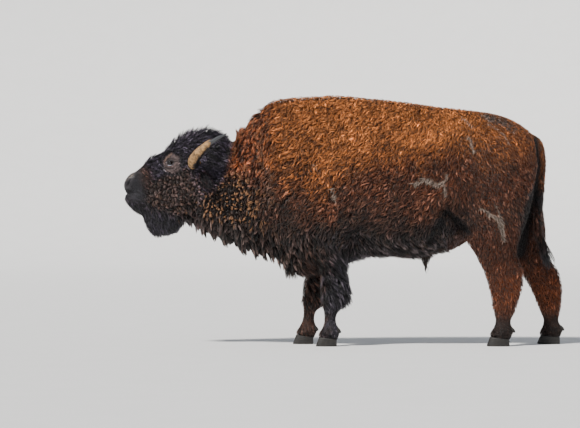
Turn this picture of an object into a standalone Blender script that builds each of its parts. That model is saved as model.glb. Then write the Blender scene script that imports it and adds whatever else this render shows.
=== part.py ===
"""American bison bull standing with its head raised, as a life-size still model.

Run it with: blender --background --python part.py

The bull faces -X and +Z is up. Its left side is at -Y. The origin lies on the floor under
the middle of the whole model. One body is lofted, blended and then parted by thin cuts into
head, beard, neck, trunk and legs. Horns, ears, eyes, hooves, dewclaws and tail are solids
of their own.
"""

from math import cos, pi, sin

import bmesh
import bpy
import numpy as np
from mathutils import Matrix, Vector

# Driving dimensions in metres, out to the tips of the coat.
WITHERS_HEIGHT = 1.755
RELAX_LOSS = 0.002  # what smoothing takes off the top of the hump
CHEST_HALF_WIDTH = 0.335
HIP_HALF_WIDTH = 0.275
EYE_RADIUS = 0.021
EYE_CENTRE = Vector((-1.160, 0.148, 1.280))
FORE_TRACK = 0.165
HIND_TRACK = 0.160
HIND_STEP = 0.385
FORE_STEP = -0.160
FORE_LIMB_TOP = 0.95
HIND_LIMB_TOP = 1.15
STEP_POWER = 1.6
CORONET_FRONT = 0.066
CORONET_BACK = 0.050
TOE_GAP = 0.010
HOOF_FLARE = 0.008
TOE_REACH = 0.026
TOE_POINTS = 12
TOE_SHARPNESS = 0.35
TOE_ROUNDNESS = 2.6
SOLE_NARROWING = 0.10

# How fine the blended body is, and how wide the cuts are.
GAP = 0.0003
BLEND_VOXEL = 0.0115
BLEND_SMOOTHING = 9
BODY_TRIANGLES = 4100
RING_POINTS = 28
RINGS_A_SPAN = 5

# Columns: upper outline x and z, lower outline x and z, half width, share of the depth at
# which the section is widest, and the roundness of its upper and lower halves (2 is round,
# less is peaked, more is boxy).
TRUNK_SECTIONS = (
    (-0.545, 1.672, -0.600, 0.680, 0.235, 0.46, 1.7, 1.9),
    (-0.420, 1.736, -0.450, 0.596, 0.290, 0.44, 1.6, 1.9),
    (-0.190, 1.751, -0.290, 0.480, CHEST_HALF_WIDTH, 0.45, 1.6, 1.9),
    (0.060, WITHERS_HEIGHT + RELAX_LOSS, 0.050, 0.580, CHEST_HALF_WIDTH, 0.42, 1.65, 2.1),
    (0.320, 1.728, 0.320, 0.622, 0.335, 0.42, 1.8, 2.2),
    (0.600, 1.694, 0.600, 0.618, 0.325, 0.44, 1.9, 2.2),
    (0.850, 1.660, 0.860, 0.690, 0.282, 0.52, 2.1, 2.1),
    (1.080, 1.630, 1.060, 0.830, HIP_HALF_WIDTH, 0.56, 2.2, 2.0),
    (1.255, 1.572, 1.230, 0.880, 0.250, 0.56, 2.1, 2.0),
    (1.375, 1.486, 1.335, 0.980, 0.190, 0.55, 2.0, 2.0),
    (1.425, 1.370, 1.395, 1.110, 0.090, 0.50, 2.0, 2.0),
)
NECK_SECTIONS = (
    (-0.450, 1.690, -0.430, 0.585, 0.270, 0.45, 1.7, 2.0),
    (-0.572, 1.650, -0.580, 0.622, 0.262, 0.46, 1.8, 2.0),
    (-0.656, 1.525, -0.720, 0.682, 0.245, 0.48, 1.9, 2.0),
    (-0.725, 1.405, -0.870, 0.745, 0.228, 0.50, 2.0, 2.0),
    (-0.840, 1.350, -1.000, 0.805, 0.190, 0.52, 2.0, 2.0),
)
HEAD_SECTIONS = (
    (-0.745, 1.430, -0.900, 0.850, 0.150, 0.55, 2.0, 2.0),
    (-0.785, 1.490, -0.985, 0.835, 0.190, 0.60, 2.2, 2.0),
    (-0.905, 1.516, -1.085, 0.835, 0.200, 0.64, 2.3, 1.9),
    (-1.035, 1.502, -1.180, 0.850, 0.190, 0.64, 2.3, 1.8),
    (-1.150, 1.446, -1.265, 0.875, 0.158, 0.60, 2.2, 1.8),
    (-1.245, 1.372, -1.335, 0.905, 0.122, 0.56, 2.2, 1.9),
    (-1.320, 1.302, -1.390, 0.935, 0.095, 0.52, 2.2, 2.0),
    (-1.360, 1.268, -1.420, 0.960, 0.080, 0.50, 2.2, 2.1),
)
MUZZLE_SECTIONS = (
    (-1.270, 1.330, -1.330, 1.010, 0.088, 0.52, 2.3, 2.4),
    (-1.350, 1.268, -1.385, 1.040, 0.086, 0.50, 2.4, 2.6),
    (-1.405, 1.244, -1.435, 1.068, 0.083, 0.50, 2.4, 2.6),
    (-1.450, 1.212, -1.470, 1.084, 0.074, 0.48, 2.3, 2.4),
    (-1.483, 1.160, -1.487, 1.108, 0.048, 0.48, 2.1, 2.1),
)
LOWER_LIP_SECTIONS = (
    (-1.310, 1.090, -1.350, 0.920, 0.080, 0.50, 2.2, 2.1),
    (-1.385, 1.078, -1.400, 0.925, 0.070, 0.50, 2.2, 2.1),
    (-1.435, 1.066, -1.440, 0.962, 0.058, 0.50, 2.2, 2.1),
    (-1.468, 1.056, -1.468, 1.005, 0.034, 0.50, 2.0, 2.0),
)
BEARD_SECTIONS = (
    (-1.390, 0.960, -0.960, 0.940, 0.092, 0.45, 2.0, 2.0),
    (-1.364, 0.880, -1.010, 0.862, 0.078, 0.45, 2.0, 2.0),
    (-1.326, 0.798, -1.090, 0.808, 0.056, 0.45, 2.0, 2.0),
    (-1.285, 0.762, -1.180, 0.775, 0.030, 0.45, 2.0, 2.0),
)
# Limb columns: front edge x and z, back edge x and z, half width, then as above.
FORELEG_SECTIONS = (
    (-0.240, 0.980, 0.150, 0.960, 0.120, 0.50, 2.0, 2.0),
    (-0.235, 0.800, 0.130, 0.780, 0.118, 0.50, 2.0, 2.0),
    (-0.180, 0.660, 0.095, 0.655, 0.105, 0.50, 2.0, 2.0),
    (-0.126, 0.540, 0.074, 0.535, 0.090, 0.50, 2.1, 2.0),
    (-0.118, 0.420, 0.094, 0.400, 0.084, 0.50, 2.1, 1.9),
    (-0.106, 0.330, 0.080, 0.300, 0.072, 0.50, 2.1, 1.9),
    (-0.088, 0.250, 0.010, 0.240, 0.048, 0.50, 2.2, 2.0),
    (-0.086, 0.180, 0.002, 0.170, 0.045, 0.50, 2.2, 2.0),
    (-0.102, 0.130, 0.022, 0.112, 0.057, 0.50, 2.2, 2.0),
    (-0.118, 0.070, 0.006, 0.052, 0.057, 0.50, 2.2, 2.2),
    (-0.120, 0.020, 0.004, 0.010, 0.057, 0.50, 2.2, 2.2),
)
HINDLEG_SECTIONS = (
    (0.930, 1.300, 1.360, 1.330, 0.110, 0.50, 2.0, 2.0),
    (0.865, 1.020, 1.405, 1.110, 0.120, 0.50, 2.1, 2.0),
    (0.880, 0.790, 1.355, 0.880, 0.112, 0.50, 2.1, 2.0),
    (0.965, 0.645, 1.296, 0.720, 0.094, 0.50, 2.1, 1.8),
    (1.022, 0.530, 1.280, 0.610, 0.074, 0.50, 2.1, 1.7),
    (1.050, 0.450, 1.312, 0.528, 0.064, 0.50, 2.1, 1.7),
    (1.072, 0.365, 1.304, 0.405, 0.058, 0.50, 2.1, 1.9),
    (1.090, 0.260, 1.258, 0.260, 0.049, 0.50, 2.1, 2.0),
    (1.108, 0.180, 1.220, 0.172, 0.045, 0.50, 2.1, 2.0),
    (1.094, 0.130, 1.236, 0.114, 0.055, 0.50, 2.1, 2.0),
    (1.076, 0.070, 1.210, 0.052, 0.055, 0.50, 2.1, 2.2),
    (1.074, 0.020, 1.208, 0.010, 0.055, 0.50, 2.1, 2.2),
)
# Round stations: centre x, y and z, and the two half sizes of the section there.
HORN_STATIONS = (
    (-0.985, 0.120, 1.262, 0.052, 0.052),
    (-0.995, 0.200, 1.268, 0.050, 0.051),
    (-0.992, 0.252, 1.296, 0.046, 0.048),
    (-0.960, 0.286, 1.340, 0.039, 0.042),
    (-0.905, 0.298, 1.392, 0.028, 0.031),
    (-0.840, 0.290, 1.438, 0.017, 0.019),
    (-0.764, 0.262, 1.480, 0.004, 0.004),
)
EAR_STATIONS = (
    (-0.930, 0.130, 1.185, 0.026, 0.022),
    (-0.922, 0.190, 1.172, 0.040, 0.020),
    (-0.905, 0.235, 1.152, 0.046, 0.018),
    (-0.885, 0.275, 1.128, 0.036, 0.015),
    (-0.868, 0.305, 1.104, 0.010, 0.006),
)
TAIL_STATIONS = (
    (1.350, 0.0, 1.462, 0.036, 0.040),
    (1.418, 0.0, 1.428, 0.034, 0.038),
    (1.450, 0.0, 1.340, 0.030, 0.032),
    (1.452, 0.0, 1.230, 0.028, 0.030),
    (1.436, 0.0, 1.080, 0.034, 0.034),
    (1.414, 0.0, 0.930, 0.042, 0.040),
    (1.424, 0.0, 0.800, 0.042, 0.036),
    (1.465, 0.0, 0.690, 0.028, 0.026),
    (1.504, 0.0, 0.600, 0.007, 0.007),
)
# Balls drawn out along x, y and z and then tilted: centre, three radii, tilt in degrees.
SIDE_SWELLINGS = (
    ((-0.060, 0.205, 0.900), (0.200, 0.125, 0.300), -12),  # upper arm
    ((-0.260, 0.190, 1.120), (0.200, 0.130, 0.360), 20),  # shoulder blade
    ((1.100, 0.170, 1.060), (0.250, 0.125, 0.330), 8),  # thigh
    ((0.960, 0.190, 1.400), (0.130, 0.080, 0.100), 10),  # point of the hip
    ((-1.150, 0.122, 1.305), (0.062, 0.042, 0.050), -35),  # brow
    ((-1.436, 0.050, 1.168), (0.042, 0.034, 0.042), -35),  # nostril
    ((-1.080, 0.110, 1.080), (0.130, 0.085, 0.150), -30),  # cheek
    ((-0.985, 0.140, 1.265), (0.075, 0.060, 0.075), 0),  # foot of the horn
)
MIDDLE_SWELLINGS = (
    ((0.634, 0.0, 0.588), (0.040, 0.036, 0.062), 0),  # tuft on the sheath
    ((-0.925, 0.0, 1.385), (0.150, 0.178, 0.128), -12),  # bonnet of hair behind the brow
)
# The two dewclaws of a foot, from the back of its fetlock.
DEWCLAW_LENGTH = 0.042
DEWCLAW_RADIUS = 0.015
DEWCLAW_SPREAD = 0.026
DEWCLAW_INSET = 0.020
DEWCLAW_RISE = 0.012
DEWCLAW_STATIONS = ((0, 0.9), (0.6, 0.9), (1, 0.4))
# Side-view lines of the cuts between head, beard, neck and trunk.
HEAD_CUT = ((-0.718, 1.560), (-1.040, 0.740))
NECK_CUT = ((-0.590, 1.900), (-0.520, 0.400))
BEARD_CUT = ((-1.440, 0.920), (-0.988, 0.872))
# A block that reaches past the whole body, for cutting it.
CELL_FRONT, CELL_BACK = -2.0, 2.0
CELL_LOW, CELL_HIGH = 0.3, 2.0
CELL_SIDE = 1.0
FOOT_MARGIN = 0.06
# The block that holds a leg: how far from the midline it starts, and its upper corners. Each
# is a station of the leg, its column for the edge's x, how far past that x, and the height.
FORE_CELL = (0.062, ((2, 2, 0.060, 0.690), (2, 0, -0.020, 0.640)))
HIND_CELL = (0.012, ((2, 2, 0.200, 0.900), (2, 0, -0.060, 0.740), (3, 0, -0.120, 0.640)))
FOOT_HALF_SPAN = 0.14

# Base colour, roughness and metallic value of each part's material.
FINISHES = {
    "coat_brown": ((0.20, 0.075, 0.030, 1), 0.85, 0.0),
    "coat_dark": ((0.035, 0.020, 0.016, 1), 0.85, 0.0),
    "horn": ((0.33, 0.21, 0.10, 1), 0.45, 0.0),
    "hoof": ((0.035, 0.030, 0.028, 1), 0.5, 0.0),
    "eye": ((0.020, 0.010, 0.006, 1), 0.08, 0.0),
}


def material(name):
    """The named finish as a Principled material, made once."""
    found = bpy.data.materials.get(name)
    if found:
        return found
    colour, roughness, metallic = FINISHES[name]
    made = bpy.data.materials.new(name)
    made.use_nodes = True
    shader = made.node_tree.nodes["Principled BSDF"]
    shader.inputs["Base Color"].default_value = colour
    shader.inputs["Roughness"].default_value = roughness
    shader.inputs["Metallic"].default_value = metallic
    return made


def clear_scene():
    for each in list(bpy.data.objects):
        bpy.data.objects.remove(each)


def link(name, mesh):
    made = bpy.data.objects.new(name, mesh)
    bpy.context.scene.collection.objects.link(made)
    return made


def spline(stations, spans):
    """Rows between the stations, by a Catmull-Rom spline through every column."""
    rows = np.array(stations, float)
    padded = np.vstack((2 * rows[0] - rows[1], rows, 2 * rows[-1] - rows[-2]))
    found = []
    for index in range(1, len(rows)):
        before, start, end, after = padded[index - 1 : index + 3]
        for t in np.arange(spans) / spans:
            found.append(
                start
                + 0.5 * t * (end - before)
                + t * t * (before - 2.5 * start + 2 * end - 0.5 * after)
                + t**3 * (1.5 * (start - end) + 0.5 * (after - before))
            )
    found.append(rows[-1])
    return found


def rounded(value, power):
    """A sine or cosine drawn out or in, so that a circle becomes a superellipse."""
    return abs(value) ** (2 / power) * (1 if value >= 0 else -1)


def outline_ring(row, track):
    """One section between an upper and a lower outline point, centred on y = track."""
    upper = Vector((row[0], track, row[1]))
    lower = Vector((row[2], track, row[3]))
    half_width, widest, power_up, power_down = row[4:]
    middle = lower.lerp(upper, widest)
    points = []
    for index in range(RING_POINTS):
        angle = 2 * pi * index / RING_POINTS
        power = power_up if sin(angle) >= 0 else power_down
        rise = abs(rounded(sin(angle), power))
        point = middle.lerp(upper if sin(angle) >= 0 else lower, rise)
        point.y += half_width * rounded(cos(angle), power)
        points.append(point)
    return points


def path_rings(rows, flat_axis, count):
    """Sections square to a path, wide across flat_axis and thin the other way."""
    centres = [Vector(row[:3]) for row in rows]
    rings = []
    for index, row in enumerate(rows):
        ahead = centres[min(index + 1, len(rows) - 1)]
        along = (ahead - centres[max(index - 1, 0)]).normalized()
        across = (flat_axis - along * flat_axis.dot(along)).normalized()
        other = along.cross(across)
        ring = []
        for step in range(count):
            angle = 2 * pi * step / count
            ring.append(centres[index] + across * row[3] * cos(angle) + other * row[4] * sin(angle))
        rings.append(ring)
    return rings


def loft(name, rings):
    """A closed mesh through rings of points, with flat ends."""
    work = bmesh.new()
    made = [[work.verts.new(point) for point in ring] for ring in rings]
    for near, far in zip(made, made[1:]):
        for index in range(len(near)):
            after = (index + 1) % len(near)
            work.faces.new((near[index], near[after], far[after], far[index]))
    work.faces.new(reversed(made[0]))
    work.faces.new(made[-1])
    bmesh.ops.recalc_face_normals(work, faces=work.faces)
    mesh = bpy.data.meshes.new(name)
    work.to_mesh(mesh)
    work.free()
    return link(name, mesh)


def outline_loft(name, sections, track=0.0):
    rows = spline(sections, RINGS_A_SPAN)
    return loft(name, [outline_ring(row, track) for row in rows])


def stepped(sections, step, limb_top):
    """The same limb swung from its top, so that its foot lands one step further back."""
    moved = []
    for row in sections:
        front, back = (step * (1 - min(z / limb_top, 1) ** STEP_POWER) for z in (row[1], row[3]))
        moved.append((row[0] + front, row[1], row[2] + back, *row[3:]))
    return moved


def ellipsoid(name, centre, radii, tilt_deg=0.0):
    """A ball drawn out along its own axes and turned about Y."""
    work = bmesh.new()
    bmesh.ops.create_uvsphere(work, u_segments=14, v_segments=9, radius=1.0)
    turn = Matrix.Rotation(tilt_deg * pi / 180, 4, "Y")
    size = Matrix.Diagonal((*radii, 1.0))
    bmesh.ops.transform(work, matrix=Matrix.Translation(centre) @ turn @ size, verts=work.verts)
    mesh = bpy.data.meshes.new(name)
    work.to_mesh(mesh)
    work.free()
    return link(name, mesh)


def mirrored(point, side):
    """The point on the left (side -1) or on the right (side +1) of the body."""
    return Vector((point[0], side * point[1], point[2]))


def apply_modifiers(piece):
    """The piece's mesh as its modifiers leave it."""
    graph = bpy.context.evaluated_depsgraph_get()
    mesh = bpy.data.meshes.new_from_object(piece.evaluated_get(graph))
    piece.modifiers.clear()
    piece.data = mesh
    return piece


def join(pieces):
    """One object that holds the meshes of all the pieces."""
    work = bmesh.new()
    for piece in pieces:
        work.from_mesh(piece.data)
    mesh = bpy.data.meshes.new("body")
    work.to_mesh(mesh)
    work.free()
    for piece in pieces:
        bpy.data.objects.remove(piece)
    return link("body", mesh)


def limb_tables():
    """Each leg's name, side, sections and the x that its toes are centred on."""
    tables = []
    for side, word in ((-1, "left"), (1, "right")):
        fore, hind = FORELEG_SECTIONS, HINDLEG_SECTIONS
        if side > 0:
            fore = stepped(fore, FORE_STEP, FORE_LIMB_TOP)
            hind = stepped(hind, HIND_STEP, HIND_LIMB_TOP)
        tables.append((f"foreleg_{word}", side * FORE_TRACK, fore))
        tables.append((f"hindleg_{word}", side * HIND_TRACK, hind))
    return tables


def swellings():
    """Muscle, bone and hair that stand out from the lofts, on both sides of the body."""
    made = []
    for side in (-1, 1):
        for centre, radii, tilt in SIDE_SWELLINGS:
            made.append(ellipsoid("swelling", mirrored(centre, side), radii, tilt))
    for centre, radii, tilt in MIDDLE_SWELLINGS:
        made.append(ellipsoid("swelling", Vector(centre), radii, tilt))
    return made


def blended_body():
    """Trunk, neck, head and limbs as one smooth closed skin of few triangles."""
    lofts = [
        outline_loft("trunk", TRUNK_SECTIONS),
        outline_loft("neck", NECK_SECTIONS),
        outline_loft("head", HEAD_SECTIONS),
        outline_loft("muzzle", MUZZLE_SECTIONS),
        outline_loft("lower_lip", LOWER_LIP_SECTIONS),
        outline_loft("beard", BEARD_SECTIONS),
    ]
    lofts += [outline_loft(name, rows, track) for name, track, rows in limb_tables()]
    body = join(lofts + swellings())
    blend = body.modifiers.new("blend", "REMESH")
    blend.mode = "VOXEL"
    blend.voxel_size = BLEND_VOXEL
    relax = body.modifiers.new("relax", "SMOOTH")
    relax.factor = 0.5
    relax.iterations = BLEND_SMOOTHING
    apply_modifiers(body)
    return thinned(body)


def thinned(body):
    """The body with its triangles cut down."""
    whole = sum(len(polygon.vertices) - 2 for polygon in body.data.polygons)
    fewer = body.modifiers.new("fewer", "DECIMATE")
    fewer.ratio = BODY_TRIANGLES / whole
    return apply_modifiers(body)


def grown_outline(outline, grow):
    """A convex side-view outline, run anticlockwise, moved out by grow on every edge."""
    moved = []
    for index, point in enumerate(outline):
        before = Vector(outline[index - 1])
        here = Vector(point)
        after = Vector(outline[(index + 1) % len(outline)])
        first = (here - before).normalized()
        second = (after - here).normalized()
        out_first = Vector((first.y, -first.x))
        out_second = Vector((second.y, -second.x))
        moved.append(here + (out_first + out_second) * (grow / (1 + out_first.dot(out_second))))
    return moved


def prism(outline, y_low, y_high, grow):
    """A cutter: a side-view outline drawn out from y_low to y_high, grown all over."""
    corners = grown_outline(outline, grow)
    ends = (y_low - grow, y_high + grow)
    cutter = loft("cutter", [[Vector((x, y, z)) for x, z in corners] for y in ends])
    cutter.hide_render = True
    cutter.display_type = "WIRE"
    return cutter


def cut(piece, cutter, operation):
    """The piece after one exact Boolean with the cutter, which is then thrown away."""
    step = piece.modifiers.new("cut", "BOOLEAN")
    step.operation = operation
    step.solver = "EXACT"
    step.object = cutter
    apply_modifiers(piece)
    bpy.data.objects.remove(cutter)
    return piece


def copy_of(piece, name):
    return link(name, piece.data.copy())


def foot_line(rows):
    """The coronet of a leg in side view: the front and the back end of the cut above its hoof."""
    sole_front, sole_back = rows[-1][0], rows[-1][2]
    fall = (CORONET_FRONT - CORONET_BACK) / (sole_back - sole_front)
    front = (sole_front - FOOT_MARGIN, CORONET_FRONT + fall * FOOT_MARGIN)
    back = (sole_back + FOOT_MARGIN, CORONET_BACK - fall * FOOT_MARGIN)
    return front, back


def leg_cell(name, track, rows):
    """The side-view outline and the span in y of the block that holds one leg."""
    side = 1 if track > 0 else -1
    inner, corners = FORE_CELL if name.startswith("foreleg") else HIND_CELL
    top = [(rows[station][edge] + reach, height) for station, edge, reach, height in corners]
    y_low, y_high = sorted((side * inner, side * CELL_SIDE / 2))
    return [*foot_line(rows), *top], y_low, y_high


def on_line(line, x=None, z=None):
    """The point of a side-view line at this x or at this z."""
    (x0, z0), (x1, z1) = line
    share = (x - x0) / (x1 - x0) if z is None else (z - z0) / (z1 - z0)
    return (x0 + share * (x1 - x0), z0 + share * (z1 - z0))


def ahead_of(line):
    """The side-view outline of everything in front of a line that runs down the body."""
    low, high = on_line(line, z=CELL_LOW), on_line(line, z=CELL_HIGH)
    return [(CELL_FRONT, CELL_LOW), low, high, (CELL_FRONT, CELL_HIGH)]


def below(line):
    """The side-view outline of everything under a line that runs along the body."""
    back, front = on_line(line, x=CELL_BACK), on_line(line, x=CELL_FRONT)
    return [(CELL_FRONT, CELL_LOW), (CELL_BACK, CELL_LOW), back, front]


def split(piece, name, outline, y_low=-CELL_SIDE, y_high=CELL_SIDE):
    """Takes the part inside the outline out of the piece, leaving a gap, and gives it its name."""
    taken = cut(copy_of(piece, name), prism(outline, y_low, y_high, -GAP / 2), "INTERSECT")
    cut(piece, prism(outline, y_low, y_high, GAP / 2), "DIFFERENCE")
    return taken


def without_feet(body):
    """The body cut off at each coronet."""
    for name, track, rows in limb_tables():
        front, back = foot_line(rows)
        under = [(front[0], -CELL_LOW), (back[0], -CELL_LOW), back, front]
        foot = prism(under, track - FOOT_HALF_SPAN, track + FOOT_HALF_SPAN, 0.0)
        cut(body, foot, "DIFFERENCE")
    return body


def parted(body):
    """Head, beard, neck, legs and trunk, a cut's width apart."""
    trunk = without_feet(copy_of(body, "trunk"))
    neck = split(trunk, "neck", ahead_of(NECK_CUT))
    head = split(neck, "head", ahead_of(HEAD_CUT))
    parts = {"beard": split(head, "beard", below(BEARD_CUT)), "head": head, "neck": neck}
    for name, track, rows in limb_tables():
        parts[name] = split(trunk, name, *leg_cell(name, track, rows))
    parts["trunk"] = trunk
    return parts


def grown_body(body):
    """The body a cut's width fatter, for trimming what stands on it."""
    fatter = copy_of(body, "fatter")
    fatter.hide_render = True
    swell = fatter.modifiers.new("swell", "DISPLACE")
    swell.strength = 3 * GAP
    swell.mid_level = 0.0
    return apply_modifiers(fatter)


def on_body(piece, body):
    """The piece with its root trimmed to the body's surface."""
    return cut(piece, grown_body(body), "DIFFERENCE")


def horns(body):
    made = {}
    for side, word in ((-1, "left"), (1, "right")):
        stations = [(*mirrored(row[:3], side), row[3], row[4]) for row in HORN_STATIONS]
        rings = path_rings(spline(stations, 3), Vector((0, 0, 1)), 12)
        made[f"horn_{word}"] = on_body(loft(f"horn_{word}", rings), body)
    return made


def ears(body):
    made = {}
    for side, word in ((-1, "left"), (1, "right")):
        stations = [(*mirrored(row[:3], side), row[3], row[4]) for row in EAR_STATIONS]
        rings = path_rings(spline(stations, 2), Vector((-0.35, 0, 1)), 12)
        made[f"ear_{word}"] = on_body(loft(f"ear_{word}", rings), body)
    return made


def tail(body):
    rings = path_rings(spline(TAIL_STATIONS, 2), Vector((0, 1, 0)), 10)
    return {"tail": on_body(loft("tail", rings), body)}


def eyes(head):
    """The eyeballs, with a socket cut for each in the head."""
    made = {}
    for side, word in ((-1, "left"), (1, "right")):
        centre = mirrored(EYE_CENTRE, side)
        socket = ellipsoid("socket", centre, (EYE_RADIUS + GAP,) * 3)
        cut(head, socket, "DIFFERENCE")
        made[f"eye_{word}"] = ellipsoid(f"eye_{word}", centre, (EYE_RADIUS - GAP,) * 3)
    return made


def toe(name, front, back, y_inner, y_outer):
    """One claw of a cloven hoof, with a flat sole and a slanted wall."""
    length = back[0] - front[0]
    middle = (y_inner + y_outer) / 2
    half = (y_outer - y_inner) / 2
    rings = []
    for rise in (0.0, 0.5, 1.0):
        reach = TOE_REACH * (1 - rise)
        ring = []
        for index in range(TOE_POINTS):
            angle = 2 * pi * index / TOE_POINTS
            forward = (1 + cos(angle)) / 2
            x = front[0] - reach + (length + reach) * (1 - forward)
            top = front[1] + (back[1] - front[1]) * (1 - forward) - GAP
            width = half * (1 - SOLE_NARROWING * (1 - rise)) * (1 - TOE_SHARPNESS * forward**3)
            ring.append(Vector((x, middle + width * rounded(sin(angle), TOE_ROUNDNESS), rise * top)))
        rings.append(ring)
    return loft(name, rings)


def hooves():
    made = {}
    for leg, track, rows in limb_tables():
        front = (rows[-1][0], CORONET_FRONT)
        back = (rows[-1][2], CORONET_BACK)
        half_width = rows[-2][4] + HOOF_FLARE
        for word, side in (("inner", -1), ("outer", 1)):
            outward = side * (1 if track > 0 else -1)
            low, high = sorted((track + outward * TOE_GAP / 2, track + outward * half_width))
            name = f"hoof_{leg.replace('leg', '')}_{word}"
            made[name] = toe(name, front, back, low, high)
    return made


def dewclaws(body):
    """The two small claws behind each fetlock."""
    made = {}
    for leg, track, rows in limb_tables():
        back_x, back_z = rows[-3][2:4]
        for word, side in (("inner", -1), ("outer", 1)):
            outward = side * (1 if track > 0 else -1)
            y = track + outward * DEWCLAW_SPREAD
            root = Vector((back_x - DEWCLAW_INSET, y, back_z + DEWCLAW_RISE))
            tip = root + DEWCLAW_LENGTH * Vector((0.70, outward * 0.10, -0.70))
            stations = [
                (*root.lerp(tip, share), DEWCLAW_RADIUS * size, DEWCLAW_RADIUS * size)
                for share, size in DEWCLAW_STATIONS
            ]
            name = f"dewclaw_{leg.replace('leg', '')}_{word}"
            made[name] = on_body(loft(name, path_rings(stations, Vector((0, 1, 0)), 7)), body)
    return made


def finish_for(name):
    """The finish that a part's name calls for."""
    for word, finish in (("horn", "horn"), ("hoof", "hoof"), ("dewclaw", "hoof"), ("eye", "eye")):
        if name.startswith(word):
            return finish
    return "coat_brown" if name in ("trunk", "neck") or name.startswith("hindleg") else "coat_dark"


def centre_over_origin(parts):
    """Moves the parts so that the middle of the model's box stands over the origin."""
    points = [vertex.co for part in parts.values() for vertex in part.data.vertices]
    low = Vector([min(point[axis] for point in points) for axis in range(3)])
    high = Vector([max(point[axis] for point in points) for axis in range(3)])
    shift = Vector((-(low.x + high.x) / 2, -(low.y + high.y) / 2, -low.z))
    for part in parts.values():
        part.data.transform(Matrix.Translation(shift))


def main():
    clear_scene()
    body = blended_body()
    parts = parted(body)
    parts.update(horns(body))
    parts.update(ears(body))
    parts.update(tail(body))
    parts.update(eyes(parts["head"]))
    parts.update(hooves())
    parts.update(dewclaws(body))
    bpy.data.objects.remove(body)
    centre_over_origin(parts)
    for name, part in parts.items():
        part.name = name
        part.data.materials.clear()
        part.data.materials.append(material(finish_for(name)))


main()
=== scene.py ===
"""Looks of the American bison bull: its skin, coat of mesh tufts, horns, eyes, hooves and studio.

Run as a script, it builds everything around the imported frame. The bull faces -X, +Z is up,
and its left side is at -Y. Every length is in metres.
"""

from math import cos, pi, radians, sin

import bpy
import numpy as np
from bpy.props import FloatProperty, FloatVectorProperty, IntProperty, PointerProperty
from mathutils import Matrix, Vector
from mathutils.bvhtree import BVHTree
from mathutils.kdtree import KDTree


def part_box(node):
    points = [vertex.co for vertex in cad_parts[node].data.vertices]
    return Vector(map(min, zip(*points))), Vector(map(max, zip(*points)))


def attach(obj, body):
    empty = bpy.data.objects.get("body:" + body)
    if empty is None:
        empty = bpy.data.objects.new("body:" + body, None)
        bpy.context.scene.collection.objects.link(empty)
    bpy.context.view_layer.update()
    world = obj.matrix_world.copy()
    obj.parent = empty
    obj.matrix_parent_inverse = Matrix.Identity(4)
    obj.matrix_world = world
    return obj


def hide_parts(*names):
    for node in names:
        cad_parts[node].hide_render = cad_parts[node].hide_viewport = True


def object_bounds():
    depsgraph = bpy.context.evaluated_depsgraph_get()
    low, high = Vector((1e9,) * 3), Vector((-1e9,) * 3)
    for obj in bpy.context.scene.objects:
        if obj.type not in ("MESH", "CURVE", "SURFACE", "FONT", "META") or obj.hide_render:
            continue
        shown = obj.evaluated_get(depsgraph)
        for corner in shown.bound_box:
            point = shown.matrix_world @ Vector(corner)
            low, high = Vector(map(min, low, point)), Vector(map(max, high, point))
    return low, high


bl_info = {
    "name": "Bison bull looks",
    "version": (1, 0, 0),
    "blender": (4, 5, 0),
    "location": "View3D > Sidebar > Bison",
    "description": "Skin, coat, horns, eyes, hooves and studio for a life-size bison bull",
    "category": "Object",
}

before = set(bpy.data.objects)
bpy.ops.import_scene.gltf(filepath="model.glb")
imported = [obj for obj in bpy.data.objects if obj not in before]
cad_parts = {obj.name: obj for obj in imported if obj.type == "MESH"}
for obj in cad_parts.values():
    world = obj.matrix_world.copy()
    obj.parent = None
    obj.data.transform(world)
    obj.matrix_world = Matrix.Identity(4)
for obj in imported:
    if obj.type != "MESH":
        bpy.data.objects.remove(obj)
CAD_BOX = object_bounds()

SIDES = (("left", -1), ("right", 1))
FEET = [f"{leg}_{side}" for leg in ("fore", "hind") for side in ("left", "right")]
TOES = [f"{foot}_{place}" for foot in FEET for place in ("inner", "outer")]
FLESH = ["trunk", "neck", "head", "beard", "tail", "ear_left", "ear_right"]
FLESH += [f"{leg}_{side}" for leg in ("foreleg", "hindleg") for side in ("left", "right")]
BAKE_MAP = "OFBake"


def middle(node):
    low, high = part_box(node)
    return (low + high) / 2


EYE = middle("eye_left")
EYE_SIDE = abs(EYE.y)
NOSE_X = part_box("head")[0].x

# The head's own axes in side view: along runs from the eye to the nose tip, up is square to it.
HEAD_ALONG = Vector((-0.919, 0.0, -0.394))
HEAD_UP = Vector((-0.394, 0.0, 0.919))
# Where the head ends and the mane begins, in side view: a point of the nape and the line's normal.
NAPE = Vector((EYE.x + 0.442, 0.0, EYE.z + 0.280))
NAPE_NORMAL = Vector((0.931, 0.0, -0.365))


# ---------------------------------------------------------------- settings


def colour_property(name, description, default):
    return FloatVectorProperty(
        name=name, description=description, subtype="COLOR", size=3, min=0, max=1, default=default
    )


class SkinSettings(bpy.types.PropertyGroup):
    voxel: FloatProperty(
        name="Voxel", description="Grain of the joined skin", default=0.0150, unit="LENGTH"
    )
    relax: IntProperty(name="Relax", description="Rounds of smoothing over the joints", default=10)
    lid_height: FloatProperty(
        name="Eye opening", description="Height between the lids", default=0.026, unit="LENGTH"
    )
    lid_width: FloatProperty(
        name="Eye width", description="Width between the corners of the eye", default=0.038,
        unit="LENGTH",
    )


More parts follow.
